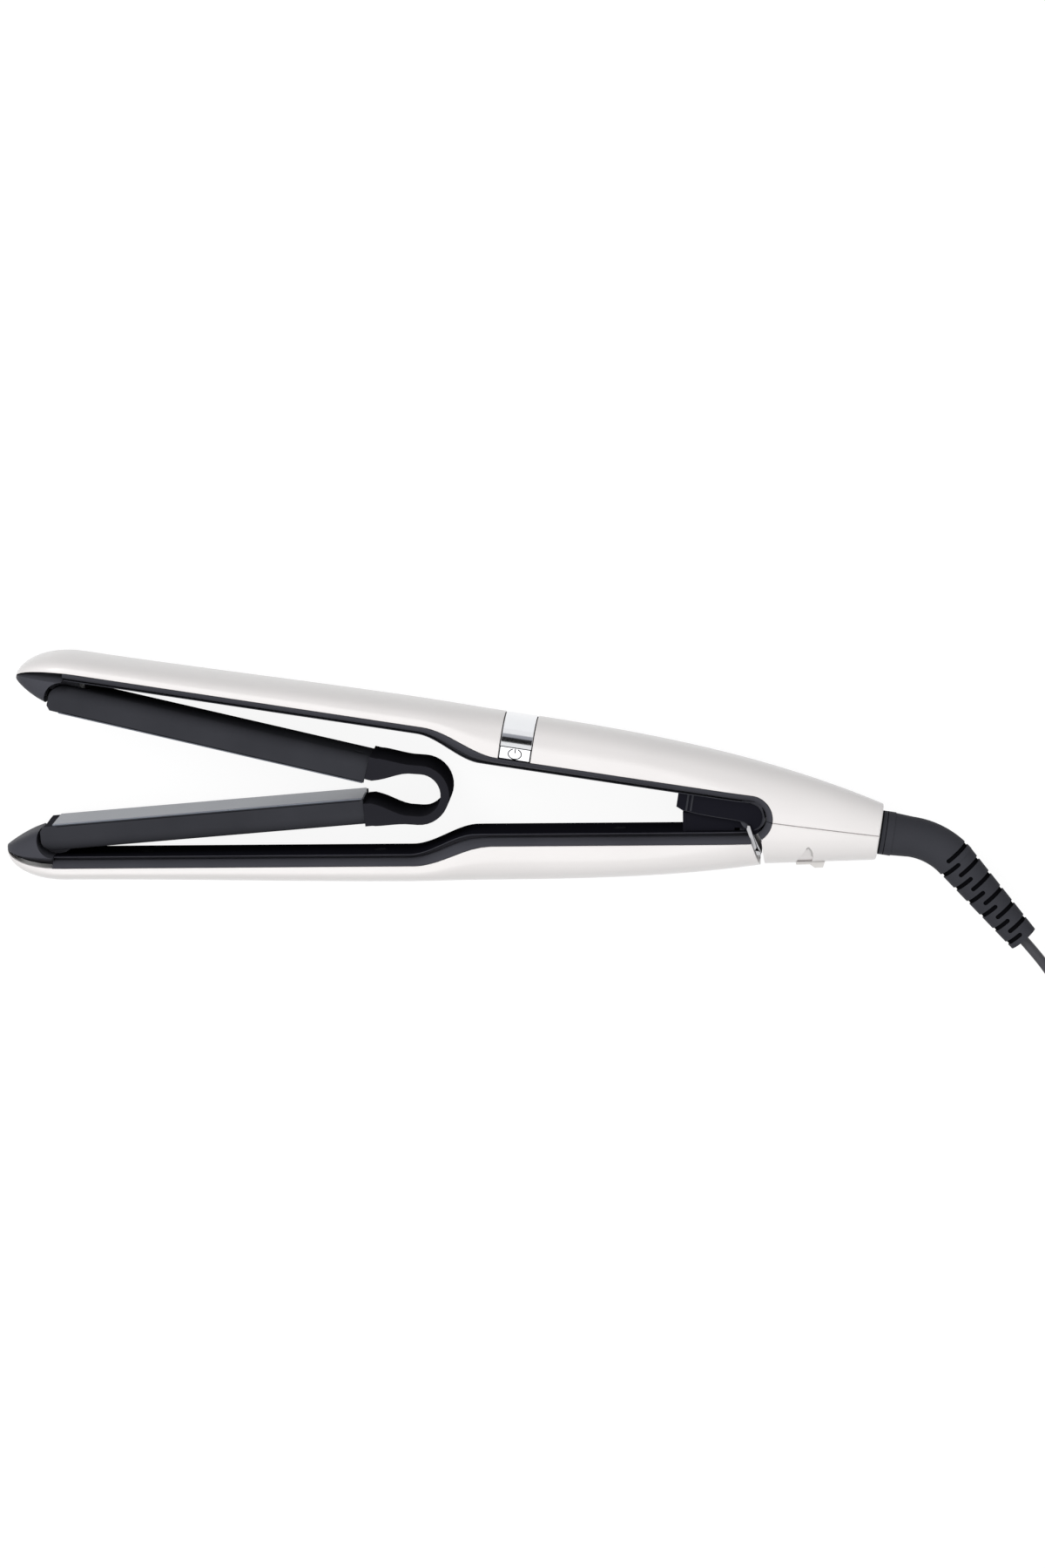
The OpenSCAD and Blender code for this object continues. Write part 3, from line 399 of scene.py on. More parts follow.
# -------- mesh helpers
class Shape:
    """Vertices and faces of one piece."""

    def __init__(self):
        self.vertices = []
        self.faces = []

    def loft(self, rings):
        """A skin through rings with the same number of points. Strips close its ends, but an end with a
        ring of three points stays open."""
        start, count = len(self.vertices), len(rings[0])
        for ring in rings:
            self.vertices += [Vector(p) for p in ring]
        for i in range(len(rings) - 1):
            for j in range(count):
                a, b = start + i * count + j, start + i * count + (j + 1) % count
                self.faces.append((a, b, b + count, a + count))
        for first in (start, start + (len(rings) - 1) * count):
            for j in range(count // 2 - 1):
                self.faces.append((first + j, first + j + 1, first + count - 2 - j, first + count - 1 - j))
        return self

    def bar(self, start, count):
        """Faces of a bar between two outlines with the same number of points: its ends, then its sides."""
        self.faces += [tuple(range(start, start + count)), tuple(range(start + count, start + 2 * count))]
        for j in range(count):
            k = (j + 1) % count
            self.faces.append((start + j, start + k, start + count + k, start + count + j))
        return self

    def prism(self, outline, low, high):
        """An outline given as (x, y), from one height to the other."""
        start, count = len(self.vertices), len(outline)
        self.vertices += [Vector((x, y, z)) for z in (low, high) for x, y in outline]
        return self.bar(start, count)

    def box(self, low, high):
        return self.prism([(low[0], low[1]), (high[0], low[1]), (high[0], high[1]), (low[0], high[1])],
                          low[2], high[2])

    def drum(self, centre, axis, radius, length, sides=40):
        """A round bar that starts at a centre and runs along an axis."""
        axis = Vector(axis).normalized()
        u = axis.orthogonal().normalized()
        v = axis.cross(u)
        start = len(self.vertices)
        for end in (0, length):
            for k in range(sides):
                a = 2 * math.pi * k / sides
                out = u * math.cos(a) + v * math.sin(a)
                self.vertices.append(Vector(centre) + axis * end + out * radius)
        return self.bar(start, sides)

    def placed(self, matrix):
        self.vertices = [matrix @ v for v in self.vertices]
        return self


# Angles from which an edge is drawn sharp or is rounded, and the distance within which points are joined
SHARP = math.radians(35)
EASED_SHARP = math.radians(40)
EASED_FROM = math.radians(30)
WELD = 0.002


def mesh_object(name, shape):
    mesh = bpy.data.meshes.new(name)
    mesh.from_pydata([tuple(v) for v in shape.vertices], [], shape.faces)
    work = bmesh.new()
    work.from_mesh(mesh)
    bmesh.ops.recalc_face_normals(work, faces=work.faces)
    work.to_mesh(mesh)
    work.free()
    mesh.shade_smooth()
    mesh.set_sharp_from_angle(angle=SHARP)
    obj = bpy.data.objects.new(name, mesh)
    bpy.context.scene.collection.objects.link(obj)
    return obj


def apply_modifiers(obj):
    depsgraph = bpy.context.evaluated_depsgraph_get()
    mesh = bpy.data.meshes.new_from_object(obj.evaluated_get(depsgraph))
    obj.modifiers.clear()
    obj.data = mesh
    mesh.shade_smooth()
    mesh.set_sharp_from_angle(angle=SHARP)


def carve(obj, tool):
    """Takes a closed mesh out of a piece, and deletes it."""
    step = obj.modifiers.new("cut", "BOOLEAN")
    step.operation = "DIFFERENCE"
    step.solver = "EXACT"
    step.object = tool
    apply_modifiers(obj)
    bpy.data.objects.remove(tool)


def cut(obj, *cutters):
    """Takes closed shapes, given in the row frame, out of a piece."""
    for cutter in cutters:
        carve(obj, mesh_object("cutter", cutter))


def soften(obj, radius, segments=2):
    """Rounds the sharp edges of a piece."""
    work = bmesh.new()
    work.from_mesh(obj.data)
    bmesh.ops.dissolve_limit(work, angle_limit=math.radians(0.5), verts=work.verts, edges=work.edges)
    edges = [e for e in work.edges if e.is_manifold and e.calc_face_angle(0) > EASED_FROM]
    bmesh.ops.bevel(work, geom=edges, offset=radius * MM, offset_type="OFFSET", segments=segments,
                    profile=0.5, affect="EDGES", clamp_overlap=True)
    work.to_mesh(obj.data)
    work.free()
    obj.data.shade_smooth()
    obj.data.set_sharp_from_angle(angle=EASED_SHARP)
    even_normals(obj)


def even_normals(obj):
    """Keeps flat faces looking flat between rounded edges."""
    step = obj.modifiers.new("normals", "WEIGHTED_NORMAL")
    step.keep_sharp = True


def belongs(obj, body, slot, *nodes, finish=None):
    """Rides on a body, is painted with its slot's finish or another one, and hides the CAD nodes it stands for."""
    paint(obj, FINISH[finish or slot])
    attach(obj, body)
    if nodes:
        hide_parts(*nodes)
    return obj


def add_piece(name, shape, body, slot, *nodes, finish=None):
    """A new piece whose mesh needs no further work."""
    return belongs(mesh_object(name, shape), body, slot, *nodes, finish=finish)


def copied(node, name):
    """A new piece with the same shape as a CAD node."""
    source = frame["nodes"][node].data
    shape = Shape()
    shape.vertices = [v.co.copy() for v in source.vertices]
    shape.faces = [tuple(p.vertices) for p in source.polygons]
    obj = mesh_object(name, shape)
    work = bmesh.new()
    work.from_mesh(obj.data)
    bmesh.ops.remove_doubles(work, verts=work.verts, dist=WELD * MM)
    bmesh.ops.recalc_face_normals(work, faces=work.faces)
    work.to_mesh(obj.data)
    work.free()
    return obj


# -------- shape of the arms, as in the source
def clamp01(t):
    return min(1.0, max(0.0, t))


def ease(t):
    t = clamp01(t)
    return t * t * (3 - 2 * t)


def mix(a, b, t):
    return a + (b - a) * t


def past(x, low, high):
    return ease((x - low) / (high - low))


def fan(low, high, count):
    """Evenly spaced values from low to high."""
    return [mix(low, high, i / (count - 1)) for i in range(count)]


def both_sides(low, high):
    """The same span of heights on either side of the middle."""
    return (-high, -low), (low, high)


def nose(x):
    return clamp01((NOSE_X - x) / NOSE_LEN)


def nose_arc(x):
    return math.sqrt(1 - nose(x) ** 2)


def round_side(t, power):
    return max(0.0, 1 - clamp01(t) ** power) ** (1 / power)


def rear_part(x):
    return clamp01((x - TAPER_X) / (BODY_END - TAPER_X)) ** TAPER_POWER


def half_width(x):
    return mix(ARM_W / 2 + FLAT_SWELL, END_R, rear_part(x)) * round_side(nose(x), NOSE_POWER)


def back_at(x):
    if x < NOSE_X:
        return mix(TIP_BACK_Y, NOSE_BACK_Y, nose_arc(x))
    fall = (BACK_Y - END_R) * clamp01((x - BACK_FALL_X) / (BODY_END - BACK_FALL_X)) ** 3
    return mix(NOSE_BACK_Y, BACK_Y, past(x, NOSE_X, SEAM_STEP[0])) - fall


def under_at(x):
    return UNDER_FRONT[1] - UNDER_SLOPE * (x - UNDER_FRONT[0])


def top_at(x, under):
    return under_at(x) if under else back_at(x)


def seam_at(x):
    if x < NOSE_X:
        return mix(TIP_SEAM_Y, SEAM_FRONT_Y, nose_arc(x))
    if x < ROUND_X:
        return mix(SEAM_FRONT_Y, SEAM_HANDLE_Y, past(x, *SEAM_STEP))
    return math.sqrt(max(0.0, ROUND_R ** 2 - (x - ROUND_X) ** 2))


def face_at(x):
    return mix(FACE_FRONT_Y, FACE_HANDLE_Y, past(x, *FACE_STEP))


def level_at(x):
    """Height at which the section is widest."""
    return seam_at(x) if x < LEVEL_X[0] else SEAM_HANDLE_Y * (1 - past(x, *LEVEL_X))


def side_z(x, y, top):
    level = level_at(x)
    power = mix(SIDE_POWER, END_POWER, rear_part(x))
    return min(ARM_W / 2, half_width(x) * round_side((y - level) / (top - level), power))


def skin_point(x, y, side, depth, low, under):
    """A place at a depth under the surface, at a height y over the closing plane."""
    top = top_at(x, under)
    rise = max(0.5, top - low)
    up = max(0.15, (rise - depth) / rise)
    inward = max(0.15, 1 - depth / max(0.01, half_width(x)))
    return Vector((x, low + (y - low) * up, side * side_z(x, y, top) * inward))


SKIN_STEPS = 44


def skin_arc(x_at, low, rise, angles, depth_at, under):
    """Points at a depth under the surface, along angles that run from one side over the back to the other."""
    points = []
    for a in angles:
        y = low + rise * math.sin(a)
        points.append(skin_point(x_at(y), y, math.copysign(1, math.cos(a)), depth_at(y), low, under))
    return points


def shell_ring(x_at, low, under=False, outer_depth=0.0):
    """A wall's section: rounded lip, outer surface, rounded lip and inner surface, leaned by x_at(y)."""
    top = top_at(x_at(low), under)
    for _ in range(4):
        top = top_at(x_at(top), under)
    rise = top - low
    radius = min(EDGE_R, rise / 4)
    first = math.asin(radius / rise)
    edge = side_z(x_at(low), low + radius, top_at(x_at(low), under))
    lip = [(low + radius * up, edge - min(radius, edge / 3) * back) for up, back in ((0, 1), (0.3, 0.3))]
    outer = [Vector((x_at(y), y, z)) for y, z in lip]
    over = [first + (math.pi - 2 * first) * i / SKIN_STEPS for i in range(SKIN_STEPS + 1)]
    outer += skin_arc(x_at, low, rise, over, lambda y: outer_depth, under)
    outer += [Vector((x_at(y), y, -z)) for y, z in reversed(lip)]
    back = [math.pi * (1 - i / (SKIN_STEPS + 4)) for i in range(SKIN_STEPS + 5)]
    return outer + skin_arc(x_at, low, rise, back, lambda y: WALL, under)


def filled_section(x, x_at, low, rise, depth_at, steps, under):
    """The whole section at a depth under the surface, closed by a point on its flat side."""
    angles = [math.pi * i / steps for i in range(steps + 1)]
    return skin_arc(x_at, low, rise, angles, depth_at, under) + [Vector((x, low, 0))]


def upright(x):
    return lambda y: x


def leaning(x):
    """The lower arm's rear end leans with the gap behind it."""
    swing = LEAN * past(x, LEAN_FROM_X, ROUND_X)
    return lambda y: x + swing * (y - seam_at(x))


def spread(low, high, step):
    count = max(1, round((high - low) / step))
    return [low + (high - low) * i / count for i in range(count)]


NOSE_ANGLES = (88.5, 86, 83, 79, 74, 68, 61, 53, 44, 35, 26, 17, 8)
NOSE_STATIONS = [NOSE_X - NOSE_LEN * math.sin(math.radians(a)) for a in NOSE_ANGLES]
STEP_FROM, STEP_TO = -120, -94.1
STEP_STATIONS = spread(NOSE_X, STEP_FROM, 8) + spread(STEP_FROM, STEP_TO, 1.4)
ARM_STATIONS = STEP_STATIONS + spread(STEP_TO, ROUND_X, 3.2) + [ROUND_X]
TRIM_STATIONS = [CAP_SEAM_X + 0.1] + ARM_STATIONS
ROUND_STATIONS = [ROUND_X + ROUND_R * math.sin(math.radians(a)) for a in range(0, 95, 5)]


# -------- shells
def end_round(x, end, radius=0.5):
    """Depth of the surface where it rounds over towards an end."""
    t = clamp01((x - (end - radius)) / radius)
    return radius * (1 - math.sqrt(1 - t * t))


def button_span():
    """Heights of the power button's two edges over the closing plane."""
    low = seam_at(BAND_X)
    return low, low + (back_at(BAND_X) - low) * math.sin(math.radians(BUTTON_ANGLE))


def add_upper_shell():
    half = BAND_W / 2
    lip, rim = half + 0.15, half + 0.2
    stations = (NOSE_STATIONS + STEP_STATIONS + spread(STEP_TO, BAND_X - rim, 1.5)
                + [BAND_X + x for x in (-rim, -lip, -half / 2, 0, half / 2, lip, rim)]
                + spread(BAND_X + half + 3, ROUND_X, 3.2) + ROUND_STATIONS + spread(8.5, BODY_END - 1, 2)
                + [BODY_END - t for t in (1, 0.5, 0.32, 0.17, 0.06, 0)])
    rings = []
    for x in stations:
        groove = GROOVE_T if abs(x - BAND_X) < (lip + rim) / 2 else 0.0
        depth = groove + end_round(x, BODY_END)
        rings.append(shell_ring(upright(x), max(REAR_SEAM, seam_at(x)), False, depth))
    shell = mesh_object("upper_shell_moulding", Shape().loft(rings).placed(UPPER))
    low, top = button_span()
    cut(shell, Shape().box((BAND_X - half, low - 1, BUTTON_IN_Z - 2),
                           (BAND_X + half, top, ARM_W / 2 + 1)).placed(UPPER))
    belongs(shell, "body", "pearl_shell", "upper_shell")


def add_lower_shell():
    stations = NOSE_STATIONS + ARM_STATIONS + [ROUND_X + END_REACH]
    rings = [shell_ring(leaning(x), seam_at(x)) for x in stations]
    shell = Shape().loft(rings).placed(LOWER)
    add_piece("lower_shell_moulding", shell, "lower_arm", "pearl_shell", "lower_shell")
    wall = []
    for x in END_WALL_X:
        place, low = leaning(x), seam_at(x)
        rise = back_at(place(back_at(x))) - low
        wall.append(filled_section(x, place, low, rise, lambda y: WALL - 0.2, 30, False))
    piece = mesh_object("lower_shell_end_wall", Shape().loft(wall).placed(LOWER))
    cut(piece, Shape().box(*TONGUE_SLOT).placed(LOWER))
    belongs(piece, "lower_arm", "pearl_shell", "lower_shell")


def gap_front(y):
    """Where the rear lower shell starts: round behind the hinge, then slanted along the gap."""
    corner = math.radians(REAR_TRIM_ANGLE)
    corner_y = ROUND_R * math.sin(corner)
    if y < corner_y:
        return ROUND_X + math.sqrt(ROUND_R ** 2 - y * y)
    corner_x = ROUND_X + ROUND_R * math.cos(corner)
    return corner_x + (y - corner_y) * (GAP_FOOT[0] - corner_x) / (GAP_FOOT[1] - corner_y)


def lock_frame():
    y = -under_at(LOCK_X)
    return UPPER @ Matrix.Translation((LOCK_X, y, 0)) @ Matrix.Rotation(math.atan(UNDER_SLOPE), 4, "Z")


def dish_floor(x):
    """A section that the finger dish leaves whole, shallow at its lower edge and deep above it."""
    rise = under_at(x)
    return filled_section(x, upright(x), 0.0, rise,
                          lambda y: mix(*DISH_DEPTH, ease((rise - y) / DISH_FADE)), 40, True)


def add_rear_lower_shell():
    rings = []
    shares = [0, 0.01, 0.03] + [0.06 + 0.92 * i / 22 for i in range(23)] + [0.986, 0.992, 0.997, 1]
    for share in shares:
        depth = end_round(mix(0, BODY_END, share), BODY_END)
        rings.append(shell_ring(lambda y, s=share: mix(gap_front(max(0.0, y)), BODY_END, s), REAR_SEAM,
                                True, depth))
    shell = mesh_object("rear_lower_shell_moulding", Shape().loft(rings).placed(UNDER))
    place = lock_frame()
    dish = mesh_object("dish", Shape().prism(DISH, -ARM_W, ARM_W).placed(place))
    carve(dish, mesh_object("core", Shape().loft([dish_floor(x) for x in DISH_SECTIONS]).placed(UNDER)))
    carve(shell, dish)
    cut(shell, Shape().box(*LOCK_OPENING).placed(place))
    belongs(shell, "body", "pearl_shell", "rear_lower_shell")
    add_dish_wall(UPPER.inverted() @ place)


def add_dish_wall(place):
    """The steep wall of the finger dish, from the shell's face down to its floor. It is painted a darker grey than
    the shell: painted shadow along the dish's rim.
    """
    middle = sum((Vector((x, y, 0)) for x, y in DISH), Vector()) / len(DISH)
    wall = Shape()
    for side in (-1, 1):
        drop = Vector((0, 0, -side * DISH_DROP))
        rings = []
        for x, y in DISH[2:-1]:
            rim = place @ Vector((x, y, 0))
            foot = place @ middle.lerp(Vector((x, y, 0)), DISH_WALL)
            top = skin_point(rim.x, -rim.y, side, 0.02, 0.0, True)
            rings.append([top, skin_point(foot.x, -foot.y, side, 0.0, 0.0, True) + drop, top + drop])
        wall.loft(rings)
    add_piece("finger_dish_wall", wall.placed(UNDER), "body", "pearl_shell", finish="dish_rim_painted_shadow")


# -------- trims
LIP_STEPS = 8


def lip_profile(seam, edge, face, flat):
    """The crowned lip between the shell's seam and the groove beside the inner face."""
    start, end = Vector((seam - 0.2, edge - 0.1)), Vector((face, flat))
    run = end - start
    out = Vector((run.y, -run.x)).normalized()
    points = [Vector((seam - SEAM_GAP, edge - 0.5))]
    for i in range(LIP_STEPS):
        t = i / (LIP_STEPS - 1)
        points.append(start + run * t * LIP_SHARE + out * 0.3 * math.sin(math.pi * t))
    return points


def trim_ring(x_at, seam, edge, face):
    flat = edge - LIP_IN
    lip = lip_profile(seam, edge, face, flat)
    wall = lip[-1].x + 0.08
    groove = flat - GROOVE_FLOOR
    lip += [Vector(p) for p in (
        (wall, flat + 0.6), (wall, groove), (face + 0.3, groove), (face + 0.3, flat),
        (face + 0.2, flat + 0.1), (face + 0.08, flat + 0.1), (face, flat), (face, flat - 0.5))]
    count = len(lip)
    outer = [(p.x, p.y) for p in lip] + [(p.x, -p.y) for p in reversed(lip)]
    deep = groove - 0.7
    corners = [Vector(p) for p in ((seam, edge - WALL), (wall + 0.7, edge - WALL - 0.6), (wall + 0.7, deep),
                                   (face + TRIM_T, deep - 0.3))]
    inner = []
    for i in range(count):
        t = 3 * i / (count - 1)
        k = min(2, int(t))
        inner.append(tuple(corners[k].lerp(corners[k + 1], t - k)))
    inner = [(y, -z) for y, z in inner] + [(y, z) for y, z in reversed(inner)]
    return [Vector((x_at(y), y, z)) for y, z in outer + inner]


def straight_trim(stations, place):
    rings = []
    for x in stations:
        seam = seam_at(x)
        rings.append(trim_ring(place(x), seam, side_z(x, seam, back_at(x)), face_at(x)))
    return Shape().loft(rings)


def face_plate(stations, place):
    """A thin dark skin over the trim's inner face, painted darker than the trim: painted shade for the shadow
    inside the arm's channel.
    """
    rings = []
    for x in stations:
        face, x_at = face_at(x), place(x)
        flat = side_z(x, seam_at(x), back_at(x)) - LIP_IN - 0.02
        rings.append([Vector((x_at(y), y, z)) for y, z in
                      ((face - 0.03, -flat), (face - 0.03, flat), (face + 0.2, flat), (face + 0.2, -flat))])
    return Shape().loft(rings)


def round_trim(first, last):
    """The lip and wall that run round the hinge, between two angles."""
    rings = []
    count = max(6, round(abs(last - first) / 4))
    for i in range(count + 1):
        angle = math.radians(mix(first, last, i / count))
        x, y = ROUND_X + ROUND_R * math.cos(angle), ROUND_R * math.sin(angle)
        under = y < 0
        edge = side_z(x, abs(y), top_at(x, under))
        flat = max(LIP_FLOOR_Z + 0.4, edge - LIP_IN)
        lip = [(p.x, p.y) for p in lip_profile(ROUND_R, edge, ROUND_IN_R, flat)]
        lip += [(lip[-1][0] + 0.08, LIP_FLOOR_Z), (INNER_WALL_R, LIP_FLOOR_Z)]
        ring = lip + [(r, -z) for r, z in reversed(lip)]
        rings.append([Vector((ROUND_X + r * math.cos(angle), r * math.sin(angle), z)) for r, z in ring])
    return Shape().loft(rings)


def screw_holes(places):
    shape = Shape()
    for x in places:
        shape.drum((x, face_at(x) - 1, 0), (0, 1, 0), SCREW_HEAD[0], 1 + SCREW_HEAD[1])
    return shape


def add_upper_trim():
    trim = mesh_object("upper_trim_moulding", straight_trim(TRIM_STATIONS, upright).placed(UPPER))
    face = mesh_object("upper_trim_face", face_plate(TRIM_STATIONS, upright).placed(UPPER))
    half_x, half_z = WINDOW_SIZE[0] / 2, WINDOW_SIZE[1] / 2
    openings = screw_holes(SCREW_X)
    openings.box((WINDOW_X - half_x, FACE_HANDLE_Y - 1, -half_z),
                 (WINDOW_X + half_x, FACE_HANDLE_Y + 3, half_z))
    for x in TEMP_X:
        openings.drum((x, FACE_HANDLE_Y - 1, 0), (0, 1, 0), TEMP_R, 4)
    openings.placed(UPPER)
    cut(trim, openings)
    cut(face, openings)
    belongs(trim, "body", "dark_trim", "upper_trim")
    # the inner face's skin is painted near-black: painted shade
    belongs(face, "body", "black_plastic", "upper_trim")
    add_piece("upper_trim_end", round_trim(90, 1.0).placed(UPPER), "body", "dark_trim", "upper_trim")
    ears = Shape()
    for low, high in both_sides(*EAR_Z):
        ears.prism(ear_outline(EAR_ROOT_X), low, high)
    add_piece("hinge_ears", ears.placed(UPPER), "body", "dark_trim", "upper_trim")


def ear_outline(right):
    """A round ear round the pin with a root that reaches the trim's inner face."""
    arc = [math.radians(a) for a in range(180, 361, 10)]
    return ([(-EAR_R, FACE_HANDLE_Y + 0.6)] + [(EAR_R * math.cos(a), EAR_R * math.sin(a)) for a in arc]
            + [(right, FACE_HANDLE_Y + 0.6)])


def add_lower_trim():
    stations = TRIM_STATIONS + [ROUND_X + END_REACH]
    trim = mesh_object("lower_trim_moulding", straight_trim(stations, leaning).placed(LOWER))
    face = mesh_object("lower_trim_face", face_plate(stations, leaning).placed(LOWER))
    holes = screw_holes(LOWER_SCREW_X).placed(LOWER)
    cut(trim, holes)
    cut(face, holes)
    belongs(trim, "lower_arm", "dark_trim", "lower_trim")
    # the inner face's skin is painted near-black: painted shade
    belongs(face, "lower_arm", "black_plastic", "lower_trim")
    knuckle = Shape().prism(ear_outline(KNUCKLE_ROOT_X), -KNUCKLE_Z, KNUCKLE_Z)
    add_piece("hinge_knuckle", knuckle.placed(LOWER), "lower_arm", "dark_trim", "lower_trim")


def add_rear_trim():
    lip = round_trim(-1.0, -REAR_TRIM_ANGLE)
    add_piece("rear_trim_moulding", lip.placed(UPPER), "body", "dark_trim", "rear_trim")


CAP_STEPS = 32
CAP_SQUARE = 0.4
CAP_DRAW_IN = 0.13


def cap_ring(x):
    """A nose piece's section: a squared bow below, and a flat top just under the shell's seam."""
    low = CAP_LOW_Y + CAP_RISE * clamp01((CAP_FROM_X - x) / CAP_RUN) ** CAP_POWER
    edge = side_z(x, seam_at(x), back_at(x))
    top = seam_at(x) - SEAM_GAP
    ring = []
    for i in range(CAP_STEPS + 1):
        t = math.pi * (0.012 + 0.976 * i / CAP_STEPS)
        u = math.sin(t) ** CAP_SQUARE
        w = math.copysign(abs(math.cos(t)) ** CAP_SQUARE, math.cos(t))
        ring.append(Vector((x, top - (top - low) * u, edge * w * (1 - CAP_DRAW_IN * u))))
    return ring + [Vector((x, top, edge * (i / CAP_STEPS - 0.5))) for i in range(CAP_STEPS + 1)]


def add_tip_cap(name, matrix, body, node):
    stations = [x for x in NOSE_STATIONS if x < CAP_SEAM_X - 1] + [CAP_SEAM_X - 0.1]
    cap = mesh_object(name, Shape().loft([cap_ring(x) for x in stations]).placed(matrix))
    cut(cap, Shape().drum(PIVOT - Vector((0, 0, ARM_W)), (0, 0, 1), MOUTH_R, 2 * ARM_W, 64).placed(matrix))
    belongs(cap, body, "dark_trim", node)
    below = math.asin((PIVOT_Y - LUG_LOW_Y) / LUG_R)
    arc = [-below + (math.pi + 2 * below) * i / 40 for i in range(41)]
    disc = [(PIVOT.x + LUG_R * math.cos(a), PIVOT_Y + LUG_R * math.sin(a)) for a in arc]
    lug = Shape().prism(disc, -LUG_Z, LUG_Z)
    lug.box((PIVOT.x - MOUTH_R - 2, PIVOT_Y - 0.6, -LUG_Z), (PIVOT.x - LUG_R / 2, PIVOT_Y + 2, LUG_Z))
    add_piece(name + "_lug", lug.placed(matrix), body, "dark_trim", node)


# -------- band and power button
def at_depth(depth):
    """An inner face for a patch, at a depth under the arm's surface."""
    return lambda x, y, side, low: skin_point(x, y, side, depth, low, False)


def band_patch(angles, half_length, outer, inner):
    """A patch of the arm's surface at the band, with eased edges."""
    rings = []
    inset = half_length - PATCH_EDGE
    outermost, next_to_it = PATCH_EASE
    for along, ease_in in ((-half_length, outermost), (-inset, next_to_it), (0, 0),
                           (inset, next_to_it), (half_length, outermost)):
        x = BAND_X + along
        low = seam_at(x)
        rise = back_at(x) - low
        places = [(low + rise * math.sin(math.radians(a)), math.copysign(1, math.cos(math.radians(a))))
                  for a in angles]
        rings.append([skin_point(x, y, side, outer + ease_in, low, False) for y, side in places]
                     + [inner(x, y, side, low) for y, side in reversed(places)])
    return Shape().loft(rings).placed(UPPER)


def add_band():
    """A bright ring in its groove, on a near-black bed that shows round its edges: painted shadow for the gap
    round the ring.
    """
    half = BAND_W / 2
    angles = fan(BUTTON_ANGLE + 0.5, BAND_END_ANGLE - 0.1, BAND_POINTS)
    ring = band_patch(angles, half - BAND_GAP, 0.0, at_depth(BED_DEPTH[0]))
    add_piece("chrome_band_ring", ring, "body", "chrome", "chrome_band")
    angles = fan(BUTTON_ANGLE, BAND_END_ANGLE, BAND_POINTS)
    bed = band_patch(angles, half + BED_REACH, BED_DEPTH[0], at_depth(BED_DEPTH[1]))
    add_piece("chrome_band_bed", bed, "body", "chrome", "chrome_band", finish="recess_shadow_and_print_black")


def add_power_button():
    """The button's cap, the black frame round it, which is painted shadow for the gap round the button, and its
    generic power symbol, which is print.
    """
    half = BAND_W / 2
    cap = band_patch(fan(1.6, BUTTON_ANGLE - 0.8, 16), half - BUTTON_GAP, 0.0,
                     lambda x, y, side, low: Vector((x, y, BUTTON_IN_Z)))
    button = mesh_object("power_button_cap", cap)
    soften(button, 0.12)
    belongs(button, "power_button", "chrome", "power_button")
    low, top = button_span()
    left, right = BAND_X - half, BAND_X + half
    deep, flush = BUTTON_IN_Z - 1.5, ARM_W / 2 - 0.1
    bars = Shape()
    bars.box((left, low, deep), (left + FRAME_T, top, flush))
    bars.box((right - FRAME_T, low, deep), (right, top, flush))
    bars.box((left, top - 0.14, deep), (right, top, flush))
    bars.box((left, low - 0.02, deep), (right, low + 0.25, flush))
    add_piece("button_frame", bars.placed(UPPER), "body", "black_plastic", finish="recess_shadow_and_print_black")
    face = ARM_W / 2 + 0.015
    section = ((-MARK_T, flush), (MARK_T, flush), (MARK_T, face), (-MARK_T, face))
    rings = []
    for angle in fan(90 + MARK_OPEN, 450 - MARK_OPEN, 41):
        u, v = math.cos(math.radians(angle)), math.sin(math.radians(angle))
        rings.append([Vector((BAND_X + (MARK_R[0] + t) * u, MARK_Y + (MARK_R[1] + t) * v, z))
                      for t, z in section])
    mark = Shape().loft(rings)
    mark.box((BAND_X - MARK_T, MARK_Y + 0.3, flush), (BAND_X + MARK_T, MARK_Y + MARK_R[1] + 0.1, face))
    add_piece("power_mark", mark.placed(UPPER), "power_button", "black_plastic", finish="recess_shadow_and_print_black")


def tube(name, path, section):
    """A closed tube along a path, with section(i) giving the flat ring's (across, up) points."""
    vertices, faces = [], []
    last = len(path) - 1
    for i, point in enumerate(path):
        run = (path[min(last, i + 1)] - path[max(0, i - 1)]).normalized()
        across = Vector((0, 0, 1)).cross(run).normalized()
        up = run.cross(across)
        vertices += [point + across * u + up * v for u, v in section(i)]
    count = len(vertices) // len(path)
    for i in range(last):
        for j in range(count):
            k = (j + 1) % count
            faces.append((i * count + j, i * count + k, (i + 1) * count + k, (i + 1) * count + j))
    faces.append(tuple(range(count)))
    faces.append(tuple(last * count + j for j in range(count)))
    shape = Shape()
    shape.vertices, shape.faces = vertices, faces
    return mesh_object(name, shape)


def smooth_path(points, steps):
    """Points on a smooth curve through the given points."""
    out = []
    for i in range(len(points) - 1):
        a, b, c, d = (points[min(max(k, 0), len(points) - 1)] for k in range(i - 1, i + 3))
        for s in range(steps):
            t = s / steps
            out.append(0.5 * ((2 * b) + (c - a) * t + (2 * a - 5 * b + 4 * c - d) * t * t
                              + (3 * b - a - 3 * c + d) * t ** 3))
    return out + [points[-1]]


# -------- pieces with the CAD shape and eased edges
EASED = [
    # CAD node, body, slot, radius of the edges in millimetres
    ("lower_wire_shroud", "lower_arm", "black_plastic", 0.3),
    ("temp_up_button", "temp_up_button", "black_plastic", 0.2),
    ("temp_down_button", "temp_down_button", "black_plastic", 0.2),
    ("cord_tie", "body", "black_plastic", 0.3),
    ("plug_body", "body", "cord", 2.2),
    ("plug_pins", "body", "brass", 0.5),
]


